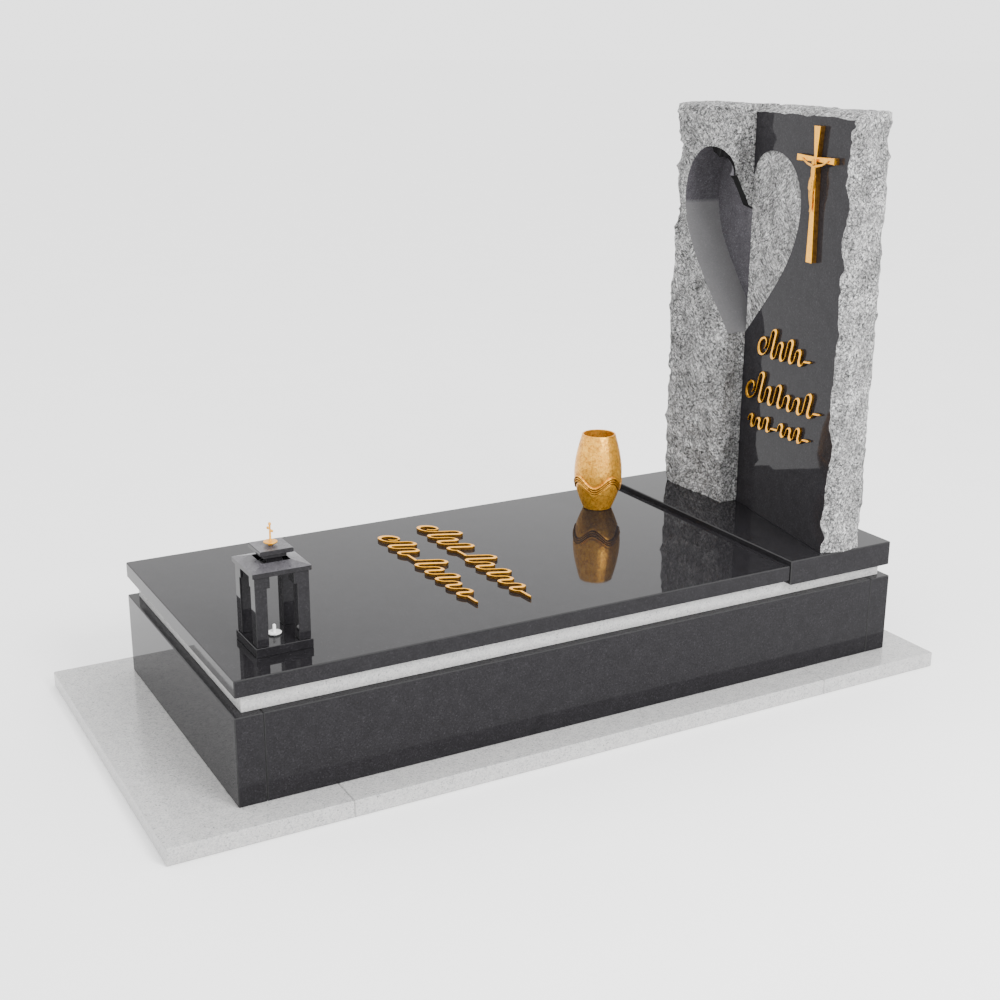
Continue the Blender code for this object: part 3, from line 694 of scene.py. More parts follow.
@dataclass(frozen=True)
class GiltMetal:
    """Satin gilt casting, a little cloudy and dulled.

    Attributes:
        tone: its colour.
        dulled: its colour where it is dull.
        gloss: its roughness.
        metal: how far it is a metal.
        sunk: brightness of its grooves against the dull colour, painted shade in the figure's hollows.
    """

    tone: Colour = (0.90, 0.42, 0.020)
    dulled: Colour = (0.74, 0.32, 0.012)
    gloss: float = 0.24
    metal: float = 0.92
    sunk: float = 0.2

    def material(self, name: str) -> Material:
        """Return the material: warm metal with soft clouds and a cast grain."""
        shade = Shade(name)
        cloud = shade.noise(95.0, 5.0, 0.65)
        colour = shade.ramp(cloud, [(0.30, self.dulled), (0.55, self.tone), (0.80, self.tone)])
        # Painted shade: the groove attribute darkens the figure's hollows.
        colour = shade.mix(shade.attribute(GROOVE_SHADE), colour, tuple(self.sunk * part for part in self.dulled))
        rough = shade.span(shade.noise(260.0, 4.0), 0.3, 0.7, self.gloss * 0.8, self.gloss * 1.4)
        grain = shade.bump(shade.noise(700.0, 2.0, 0.6), 0.00002, 0.5)
        return shade.finish(colour, rough, grain, Metallic=self.metal)


@dataclass(frozen=True)
class GoldenBronze:
    """Golden cast vase wall with a mottled, leafy patina.

    Attributes:
        deep: colour of the sunk mottles.
        light: colour of the wall.
        bright: colour of the raised spots.
        sunk: colour of the grooves.
        metal: how far it is a metal.
    """

    deep: Colour = (0.38, 0.130, 0.008)
    light: Colour = (0.78, 0.36, 0.032)
    bright: Colour = (0.95, 0.55, 0.09)
    # sunk: colour of the grooves, painted shade between and under the ridges.
    sunk: Colour = (0.12, 0.035, 0.004)
    metal: float = 0.65

    def material(self, name: str) -> Material:
        """Return the material: mottles of two scales, glossy on the raised spots."""
        shade = Shade(name)
        leaf = shade.cells(95.0, "Distance", shade.mapping((1.0, 1.0, 1.4)))
        mottle = shade.noise(120.0, 6.0, 0.7, 0.8)
        colour = shade.ramp(mottle, [(0.32, self.deep), (0.50, self.light), (0.70, self.bright)])
        veins = shade.ramp(leaf, [(0.0, grey(1.08)), (0.55, grey(0.96)), (0.85, grey(0.72))])
        colour = shade.mix(0.8, colour, veins, "MULTIPLY")
        # Painted shade in the grooves between and under the ridges.
        colour = shade.mix(shade.attribute(GROOVE_SHADE), colour, self.sunk)
        rough = shade.span(mottle, 0.3, 0.7, 0.46, 0.26)
        relief = shade.bump(leaf, 0.0012, 0.5, shade.bump(mottle, 0.0009, 0.6))
        return shade.finish(colour, rough, relief, Metallic=self.metal, IOR=1.5)


@dataclass(frozen=True)
class CandleWhite:
    """Smooth white wax or plastic, a little cloudy."""

    tone: float = 0.86

    def material(self, name: str) -> Material:
        """Return the material: faint clouds and a soft gloss."""
        shade = Shade(name)
        stops = [(0.3, grey(self.tone * 0.94, 0.02)), (0.7, grey(self.tone))]
        colour = shade.ramp(shade.noise(140.0, 3.0), stops)
        rough = shade.span(shade.noise(200.0, 2.0), 0.3, 0.7, 0.30, 0.45)
        return shade.finish(colour, rough, shade.bump(shade.noise(320.0, 2.0), 0.0002, 0.4))


@dataclass(frozen=True)
class Finishes:
    """The memorial's materials, made once."""

    polished: Material
    panel: Material
    honed: Material
    hollow: Material
    shadow: Material
    split: Material
    tooled: Material
    pale: Material
    gilt: Material
    shaded_gilt: Material
    gilt_soft: Material
    bronze: Material
    candle: Material

    @classmethod
    def make(cls) -> Finishes:
        """Return all the finishes."""
        kinds = {
            "polished": (PolishedGranite(), "polished_granite"),
            "panel": (PolishedGranite(ground=0.019, ior=1.15), "panel_granite"),
            "honed": (PolishedGranite(ground=0.058, gloss=0.30, ior=1.32), "honed_granite"),
            # Paler ground than the panel, painted light that makes up for the shade in the recess, and painted
            # light from above on faces that look up.
            "hollow": (PolishedGranite(ground=0.070, gloss=0.06, ior=1.20, paints_top_light=True), "hollow_granite"),
            # Near-black granite of painted shade, for the chin's lower edge and the strip along the hollow's
            # rim.
            "shadow": (PolishedGranite(ground=0.004, gloss=0.40, ior=1.08), "shadow_granite"),
            "split": (SplitGranite(), "rough_granite"),
            "tooled": (SplitGranite(pale=0.43, dark=0.045, swirl=90.0, relief=0.0040), "tooled_granite"),
            "pale": (PaleGranite(), "pale_granite"),
            "gilt": (GiltMetal(), "gilt_metal"),
            # Darker gilt for the sides and backs of the cross and the rows: painted shade and painted
            # reflection of the dark granite.
            "shaded_gilt": (GiltMetal((0.20, 0.095, 0.018), (0.09, 0.038, 0.007), 0.42), "shaded_gilt_metal"),
            "gilt_soft": (GiltMetal((0.72, 0.34, 0.026), (0.60, 0.26, 0.016), 0.36, 0.60), "soft_gilt_metal"),
            "bronze": (GoldenBronze(), "golden_bronze"),
            "candle": (CandleWhite(), "candle_white"),
        }
        return cls(**{key: kind.material(name) for key, (kind, name) in kinds.items()})


# The two stones that share the heart


class Side(Enum):
    """Which half of the heart a stone holds."""

    LEFT = "left"
    RIGHT = "right"


@dataclass
class Heart:
    """The heart's outline: heights above the raised slab, widths from the joint."""

    tip: float = 0.537
    wide: float = 0.940
    top: float = 1.083
    cleft: float = 1.006
    top_out: float = 0.125

    def half(self, width: float, count: int) -> np.ndarray:
        """Return evenly spaced points from the cleft over the lobe to the tip.

        Three cubic Bezier stretches: cleft to lobe top, top to widest point, and
        widest point to tip; then the points are spread evenly by arc length.

        Args:
            width: half width of the heart.
            count: number of points.

        Returns:
            Array of count rows: out from the joint, and height.
        """
        rise = self.top - self.wide
        drop = self.wide - self.tip
        cleft, top = (0.0, self.cleft), (self.top_out, self.top)
        side, tip = (width, self.wide), (0.0, self.tip)
        stretches = (
            (cleft, (0.012, self.cleft + 0.05), (0.055, self.top), top),
            (top, (0.62 * width + 0.03, self.top), (width, self.wide + 0.6 * rise), side),
            (side, (width, self.wide - 0.36 * drop), (0.52 * width, self.tip + 0.36 * drop), tip),
        )
        t = np.linspace(0.0, 1.0, 200)[:, None]
        parts = []
        for a, b, c, d in np.array(stretches):
            parts.append((1 - t) ** 3 * a + 3 * t * (1 - t) ** 2 * b + 3 * t * t * (1 - t) * c + t ** 3 * d)
        line = np.concatenate([parts[0], parts[1][1:], parts[2][1:]])
        return sample(line, np.linspace(0.0, walk(line)[-1], count))


@dataclass
class HeartStone:
    """One upright stone with half of the heart in its face.

    Local coordinates are out from the joint, depth behind the face, and height
    above the raised slab. The stone's finishes by number are its face, its split
    sides, the hollow, the joint side and the near-black granite of painted shade.

    Attributes:
        side: which half of the heart.
        carry: turns local points into the row frame.
        width: out from the joint, along the face.
        depth: thickness.
        height: to the top.
        heart_width: half width of the heart.
        hollow: depth of the heart's hollow.
        seed: picks the relief.
        rough: scale of the split relief's depth.
        crown: how far split faces fall away at their edges.
        bite: scale of the chips in the face's outer edge.
        chin: width of the chin under the cleft.
        across: columns over the width.
        rings: rings from the heart's outline to the stone's.
        mid_rows: rows beside the heart.
        through: steps through the thickness.
        heart: the heart's outline.
        skin: the patches made so far.
    """

    side: Side
    carry: Carry
    width: float
    depth: float
    height: float
    heart_width: float
    hollow: float
    seed: int
    rough: float = 0.0065
    crown: float = 0.016
    bite: float = 0.004
    chin: float = 0.030
    across: int = 56
    rings: int = 84
    mid_rows: int = 76
    through: int = 26
    heart: Heart = field(default_factory=Heart)
    skin: Skin = field(default_factory=Skin)

    def split_depth(self, p: np.ndarray, face: int) -> np.ndarray:
        """Return how far a split face lies inside its nominal plane.

        Shell-shaped bowls between sharp ridges, the absolute value of smooth noise,
        in two sizes, and crumbs in two more are added up.

        Args:
            p: local points.
            face: number of the face, which shifts the pattern.

        Returns:
            Depth in metres, never negative.
        """
        seed = self.seed * 10 + face
        bent = p + 0.012 * np.stack([value_noise(p, 0.05, seed + k) for k in (6, 7, 8)], axis=-1)
        bowls = np.abs(value_noise(bent * np.array([1.0, 1.0, 0.85]), 0.075, seed))
        small = np.abs(value_noise(bent, 0.030, seed + 1))
        crumb = value_noise(p, 0.013, seed + 2) + 0.7 * value_noise(p, 0.0070, seed + 3)
        depth = self.rough * (2.6 * bowls + 1.15 * small) + 0.0013 * crumb
        return np.maximum(depth, 0.0)

    def edge_bites(self, high: np.ndarray) -> np.ndarray:
        """Return how far chips bite into the face's outer edge at each height."""
        line = np.stack([np.zeros_like(high), np.full_like(high, 0.37 * self.seed), high], axis=-1)
        wide = np.abs(value_noise(line, 0.095, self.seed + 40))
        narrow = np.abs(value_noise(line, 0.028, self.seed + 41))
        return self.bite * (1.5 * wide + 0.45 * narrow)

    def clear_of_heart(self, p: np.ndarray) -> np.ndarray:
        """Return a weight that rises with the distance from the heart's outline, up to 45 mm."""
        line = self.heart.half(self.heart_width, 200)
        gap = np.hypot(p[..., 0, None] - line[:, 0], p[..., 2, None] - line[:, 1]).min(axis=-1)
        return 0.15 + 0.85 * smooth_step(gap, 0.0, 0.045)

    def relief(self, p: np.ndarray) -> np.ndarray:
        """Return local points moved in by the relief of the split faces near them.

        Each split face pushes inwards by its depth, fading with the square of the
        distance from it, so that patches which share an edge move alike.

        Args:
            p: local points on the nominal stone.

        Returns:
            The moved points.
        """
        out, deep, high = p[..., 0], p[..., 1], p[..., 2]
        reach = 0.024
        moved = p.copy()
        near_back = bell(self.depth - deep, 0.026)
        outer = self.split_depth(p, 0) - 0.008 + 0.20 * self.crown * near_back
        moved[..., 0] -= bell(self.width - out, reach) * outer
        moved[..., 0] -= bell(self.width - out, 0.055) * bell(deep, 0.035) * self.edge_bites(high)
        crown = self.crown * (0.45 if self.side is Side.LEFT else 1.0) * bell(deep, 0.026)
        moved[..., 2] -= bell(self.height - high, 0.045) * (0.32 * self.split_depth(p, 1) + crown)
        moved[..., 1] -= bell(self.depth - deep, reach) * (0.6 * self.split_depth(p, 2) - 0.004)
        if self.side is Side.LEFT:
            edge = bell(out, 0.016) + bell(self.width - out, 0.02)
            front = self.split_depth(p, 3) - 0.0080 + 0.15 * self.crown * edge
            moved[..., 1] += bell(deep, reach) * self.clear_of_heart(p) * front
            joint = bell(out, 0.012) * (1.0 - smooth_step(deep, 0.048, 0.062)) * smooth_step(high, 0.0, 0.01)
            moved[..., 0] += joint * 0.60 * self.split_depth(p, 4)
        return moved

    def tooled(self, p: np.ndarray) -> np.ndarray:
        """Return the heart's floor with its tooled crumbs: fine noise in two sizes."""
        moved = p.copy()
        moved[..., 1] += 0.0008 * (value_noise(p, 0.006, self.seed) + value_noise(p, 0.013, self.seed + 5))
        return moved

    def patch(self, out: np.ndarray | float, deep: np.ndarray | float, high: np.ndarray | float, finish: int,
              tooled: bool = False) -> None:
        """Add one patch of the stone, with its relief, in the row frame.

        Args:
            out: distances from the joint.
            deep: depths behind the face.
            high: heights. The three are spread over one grid.
            finish: the patch's material number.
            tooled: whether it has tooled crumbs as well.
        """
        moved = self.relief(np.stack(np.broadcast_arrays(out, deep, high), axis=-1).astype(float))
        self.skin.add(self.carry(self.tooled(moved) if tooled else moved), finish)

    def add_chin(self) -> None:
        """Add the chin that hangs under the cleft, deeper towards the back, next to the joint.

        Each ring goes down the joint side, along the lower edge, up inside the hollow
        and back along the heart's outline. Its ends are drawn to their middle.
        """
        steps = 24
        overlap = 0.002
        deep = np.linspace(0.005, self.hollow + 0.004, 32)[:, None]
        edge = self.heart.cleft - np.interp(deep, (0.004, 0.029, 0.055, 0.131), (0.0, 0.042, 0.090, 0.120))
        outline = self.heart.half(self.heart_width, 400)[:40]
        back = outline[outline[:, 0] < self.chin][::-1]
        share = np.linspace(0.0, 1.0, steps + 1)
        start = self.heart.cleft + 0.004
        down = start + (edge - start) * share
        along = np.repeat(edge, steps, axis=1)
        up = edge + (back[0, 1] + overlap - edge) * share[1:]
        home = np.broadcast_to(back[:, 1] + overlap, (len(deep), len(back)))
        high = np.concatenate([down, along, up, home, down[:, :1]], axis=1)
        inside = 0.0007 * (1.0 - share)
        out = np.concatenate([inside, self.chin * share[1:], np.full(steps, self.chin), back[:, 0],
                              inside[:1]])
        joint, lower, rest = slice(steps + 1), slice(steps, 2 * steps + 1), slice(2 * steps, None)
        # The lower edge and the rest take finish 4, near-black granite: painted shade under the cleft.
        for part, finish in ((joint, 3), (lower, 4), (rest, 4)):
            self.patch(out[part], deep, high[:, part], finish)
        for row in (0, -1):
            ends = [np.stack([ring, np.full_like(ring, ring[:-1].mean())]) for ring in (out, high[row])]
            self.patch(ends[0], deep[row], ends[1], 2)

    def add_painted_shade_strip(self) -> None:
        """Add the dark lip just behind the face, inside the heart's edge from the cleft to the lobe's top. It
        is a near-black strip of painted shade along the hollow's rim.

        It keeps a constant width, then swells and runs out before the top.
        """
        line = self.heart.half(self.heart_width, 400)
        line = line[:int(np.argmax(line[:, 1])) + 1]
        way = headings(line)
        share = np.linspace(0.0, 1.0, len(line))
        wide = np.interp(share, (0.0, 0.45, 0.74, 0.94, 1.0), (0.009, 0.012, 0.027, 0.014, 0.001))
        sunk = np.full_like(wide, -0.001)
        reach = np.stack([sunk, wide, wide, sunk], axis=1)
        out = line[:, :1] + way[:, 1:] * reach
        high = line[:, 1:] - way[:, :1] * reach
        deep = np.broadcast_to(np.array([0.0012, 0.0012, 0.0060, 0.0060]), out.shape)
        ring = np.stack([out, deep, high], axis=-1)
        ends = [np.repeat(ring[k:k + 1].mean(axis=1, keepdims=True), 4, axis=1) for k in (0, -1)]
        ring = np.concatenate([ends[0], ring, ends[1]])
        self.skin.add(self.carry(self.relief(ring)), 4, closed=True)

    def add_joint_side(self, heights: np.ndarray, deep: np.ndarray) -> None:
        """Add the side at the joint: whole above and below the heart, and behind its hollow.

        Args:
            heights: heights of the rows.
            deep: column of depths from face to back.
        """
        for part in (heights[:self.rings + 1], heights[-self.rings - 1:]):
            self.patch(0.0, deep, part, 3)
        rest = self.hollow + np.linspace(0.0, 1.0, 7)[:, None] * (self.depth - self.hollow)
        self.patch(0.0, rest, heights[self.rings:-self.rings], 3)

    def add_hollow(self, inner: np.ndarray) -> None:
        """Add the hollow: its wall carries the heart's outline back, its floor is ruled to the joint.

        Args:
            inner: the heart's outline.
        """
        deep_hollow = self.side is Side.LEFT
        wall = np.linspace(0.0, self.hollow, 15 if deep_hollow else 3)[:, None]
        self.patch(inner[:, 0], wall, inner[:, 1], 2 if deep_hollow else 0)
        fan = np.linspace(0.0, 1.0, 29)[:, None]
        self.patch(inner[:, 0] * (1 - fan), self.hollow, inner[:, 1], 2, tooled=not deep_hollow)

    def build(self, face: Material, hollow: Material, split: Material, shadow: Material, name: str
              ) -> bpy.types.Object:
        """Build the closed stone from patches that share their edges.

        The face is ruled from the heart's outline out to the stone's outline.

        Args:
            face: finish of the face round the heart.
            hollow: finish of the hollow's floor.
            split: finish of the split sides.
            shadow: finish of the chin's lower edge and the lip, near-black granite of painted shade.
            name: name of the piece.

        Returns:
            The stone.
        """
        widths = np.linspace(0.0, self.width, self.across + 1)
        share = np.linspace(0.0, 1.0, self.rings + 1)
        heights = np.concatenate([
            self.heart.tip * (1.0 - share[::-1]),
            np.linspace(self.heart.tip, self.heart.cleft, self.mid_rows + 1)[1:-1],
            self.heart.cleft + (self.height - self.heart.cleft) * share,
        ])
        outer = np.concatenate([
            np.stack([widths, np.full_like(widths, self.height)], axis=1),
            np.stack([np.full_like(heights, self.width), heights[::-1]], axis=1)[1:],
            np.stack([widths[::-1], np.zeros_like(widths)], axis=1)[1:],
        ])
        inner = self.heart.half(self.heart_width, len(outer))
        ruled = inner[None] * (1 - share[:, None, None]) + outer[None] * share[:, None, None]
        deep = np.linspace(0.0, 1.0, self.through + 1)[:, None] * self.depth
        self.patch(ruled[..., 0], 0.0, ruled[..., 1], 0)
        self.patch(self.width, deep, heights, 1)
        self.patch(widths, deep, self.height, 1)
        self.patch(widths, deep, 0.0, 1)
        self.patch(widths[:, None], self.depth, heights, 1)
        self.add_joint_side(heights, deep)
        if self.side is Side.LEFT:
            self.add_chin()
            self.add_painted_shade_strip()
        self.add_hollow(inner)
        return self.skin.build(name, [face, split, hollow, split, shadow])


@dataclass
class Headstone:
    """The rough block and the turned panel, with what is fixed on the panel.

    Attributes:
        joint_x: the joint between the stones.
        slab_top: top of the raised slab.
        block_front: the block's face.
        panel_front: the panel's face at the joint.
        turn: how far the panel is turned.
        panel_width: the panel's face, along it.
        panel_spare: what the chips in the panel's outer edge take off again.
        panel_depth: the panel's thickness.
        panel_height: to its top.
        side_angle: how far the panel's outer side leans in.
        block_width: the block's face, out from the joint.
        block_depth: the block's thickness.
        block_height: to its top.
    """

    joint_x: float
    slab_top: float
    block_front: float
    panel_front: float
    turn: float = math.radians(11.3)
    panel_width: float = 0.535
    panel_spare: float = 0.018
    panel_depth: float = 0.138
    panel_height: float = 1.207
    side_angle: float = math.radians(6.2)
    block_width: float = 0.303
    block_depth: float = 0.150
    block_height: float = 1.2090

    def block_to_world(self, p: np.ndarray) -> np.ndarray:
        """Return the block's local points in the row frame."""
        return np.stack([self.joint_x - p[..., 0], self.block_front + p[..., 1],
                         self.slab_top + GAP + p[..., 2]], axis=-1)

    def panel_to_world(self, p: np.ndarray) -> np.ndarray:
        """Return the panel's local points in the row frame: a blend of its four plan corners.

        Args:
            p: local points.

        Returns:
            The points in the row frame.
        """
        left = np.array([self.joint_x + GAP, self.panel_front])
        right = left + self.panel_width * np.array([math.cos(self.turn), -math.sin(self.turn)])
        back_left = left + np.array([0.0, self.panel_depth / math.cos(self.turn)])
        lean = np.array([-math.sin(self.side_angle), math.cos(self.side_angle)])
        back_right = right + self.panel_depth * lean
        u = (p[..., 0] / self.panel_width)[..., None]
        v = (p[..., 1] / self.panel_depth)[..., None]
        plan = (left * (1 - u) + right * u) * (1 - v) + (back_left * (1 - u) + back_right * u) * v
        return np.concatenate([plan, (self.slab_top + GAP + p[..., 2])[..., None]], axis=-1)

    def on_panel(self, p: np.ndarray) -> np.ndarray:
        """Return points given along the panel's face, out of it, and above the slab, in the row frame."""
        c, s = math.cos(self.turn), math.sin(self.turn)
        return np.stack([self.joint_x + GAP + p[..., 0] * c - p[..., 1] * s,
                         self.panel_front - p[..., 0] * s - p[..., 1] * c,
                         self.slab_top + p[..., 2]], axis=-1)

    def build(self, finishes: Finishes) -> None:
        """Build both stones."""
        block = HeartStone(Side.LEFT, self.block_to_world, self.block_width, self.block_depth,
                           self.block_height, heart_width=0.246, hollow=0.127, seed=3)
        thing = block.build(finishes.split, finishes.hollow, finishes.split, finishes.shadow, "rough_block")
        dress(thing, "rough_granite", "headstone_left_block")
        panel = HeartStone(Side.RIGHT, self.panel_to_world, self.panel_width + self.panel_spare,
                           self.panel_depth, self.panel_height, heart_width=0.291, hollow=0.003, seed=8,
                           across=90, bite=0.019)
        thing = panel.build(finishes.panel, finishes.tooled, finishes.split, finishes.shadow,
                            "polished_panel")
        dress(thing, "polished_granite", "headstone_right_panel")


# Slabs, kerb and strips


@dataclass
class GraveSlabs:
    """The CAD's own slabs, kerb and strips, which keep their shape and get their finish."""

    polished: tuple[str, ...] = (*(f"kerb_{side}" for side in SIDES), "ledger", "headstone_base")
    pale: tuple[str, ...] = tuple(f"{part}_{side}" for part in ("plinth", "strip") for side in SIDES)

    def dress(self, nodes: dict[str, bpy.types.Object], finishes: Finishes) -> None:
        """Give each node its finish.

        Args:
            nodes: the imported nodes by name.
            finishes: the memorial's materials.
        """
        for names, material in ((self.polished, finishes.polished), (self.pale, finishes.pale)):
            for name in names:
                materials = nodes[name].data.materials
                materials.clear()
                materials.append(material)


# Gilt work


def bar(middle: np.ndarray, half: np.ndarray, thick: float, bevel: float, across: np.ndarray,
        out: np.ndarray) -> np.ndarray:
    """Return a bar of changing width along a straight or bent middle line.

    Its section is a rectangle with two bevelled outer corners; both ends are drawn
    in by the bevel and closed to a point.

    Args:
        middle: points along the back of the bar.
        half: half width at each point.
        thick: how far it stands out.
        bevel: size of the bevels.
        across: direction of the width at each point, or one for all.
        out: direction in which it stands out.

    Returns:
        Grid of rings: rows along the bar, columns around it.
    """
    across = np.broadcast_to(across, middle.shape)
    count = len(middle)
    rows = np.concatenate([[0, 0], np.arange(count), [count - 1, count - 1]])
    size = np.concatenate([[0.0, 1.0], np.ones(count), [1.0, 0.0]])
    inset = np.concatenate([[1.0, 1.0], np.zeros(count), [1.0, 1.0]])
    tuck = np.array([0.0, 0.0, 0.0, 1.0, 1.0, 0.0, 0.0, 0.0, 0.0])
    rise = np.array([0.0, 0.5, 1.0, 1.0, 1.0, 1.0, 0.5, 0.0, 0.0])
    sunk = np.array([0.0, 0.0, 1.0, 0.0, 0.0, 1.0, 0.0, 0.0, 0.0])
    wide = np.array([-1.0, -1.0, -1.0, -1.0, 1.0, 1.0, 1.0, 1.0, 0.0])
    width = (half[rows] * size)[:, None] * wide - np.sign(wide) * tuck * bevel * size[:, None]
    height = (thick * rise - bevel * sunk)[None] * np.where(size > 0, 1.0, 0.5)[:, None]
    height = height - (inset * bevel)[:, None] * (rise > 0.9)[None] * (size > 0)[:, None]
    return middle[rows][:, None] + width[..., None] * across[rows][:, None] + height[..., None] * out


def add_bar(skin: Skin, grid: np.ndarray) -> None:
    """Add a bar: its face and bevels in the first finish, its sides and back in the second, a darker copy that
    paints their shade.
    """
    skin.add(grid[:, 2:6], 0)
    skin.add(np.concatenate([grid[:, 5:], grid[:, :3]], axis=1), 1)


@dataclass
class Cross:
    """The flared cross on the panel.

    Attributes:
        headstone: the stones that it hangs on.
        out: its middle along the panel.
        low: its foot above the raised slab.
        height: its height.
        arm: height of the arms' middle.
        span: over the arms.
        depth: how far it stands out.
        arm_back: how far the arms lie behind the upright's face.
        waist: width at the crossing.
        end: the upright's width at its ends.
        arm_end: the arms' width at their ends.
        bevel: size of the bevels.
    """

    headstone: Headstone
    out: float = 0.381
    low: float = 0.800
    height: float = 0.365
    arm: float = 1.0775
    span: float = 0.199
    depth: float = 0.016
    arm_back: float = 0.0004
    waist: float = 0.012
    end: float = 0.032
    arm_end: float = 0.018
    bevel: float = 0.0012

    def build(self, finishes: Finishes) -> None:
        """Build the cross of two flared bars whose halves widen evenly from the crossing.

        Args:
            finishes: the memorial's materials.
        """
        skin = Skin()
        up = np.linspace(self.low, self.low + self.height, 41)
        up = np.sort(np.append(up, self.arm))
        reach = np.where(up > self.arm, self.low + self.height - self.arm, self.arm - self.low)
        self.add_flared(skin, self.out, up, np.abs(up - self.arm) / reach, self.end, self.depth, "up")
        along = np.linspace(-self.span / 2, self.span / 2, 31)
        self.add_flared(skin, self.out + along, self.arm, np.abs(along) / (self.span / 2), self.arm_end,
                        self.depth - self.arm_back, "along")
        thing = skin.build("gilt_cross", [finishes.gilt, finishes.shaded_gilt], crease=25.0)
        dress(thing, "gilt_metal", "cross")

    def add_flared(self, skin: Skin, out: np.ndarray | float, up: np.ndarray | float, share: np.ndarray,
                   end: float, depth: float, way: str) -> None:
        """Add one flared bar of the cross.

        Args:
            skin: the patches made so far.
            out: where its middle lies along the panel.
            up: heights of its middle.
            share: 0 at the crossing and 1 at the ends.
            end: its width at the ends.
            depth: how far it stands out.
            way: "up" for the upright and "along" for the arms.
        """
        half = (self.waist + (end - self.waist) * share) / 2
        middle = np.stack(np.broadcast_arrays(out, GAP, up), axis=-1)
        across = np.array([1.0, 0.0, 0.0] if way == "up" else [0.0, 0.0, 1.0])
        grid = bar(middle, half, depth, self.bevel, across, np.array([0.0, 1.0, 0.0]))
        add_bar(skin, self.headstone.on_panel(grid))


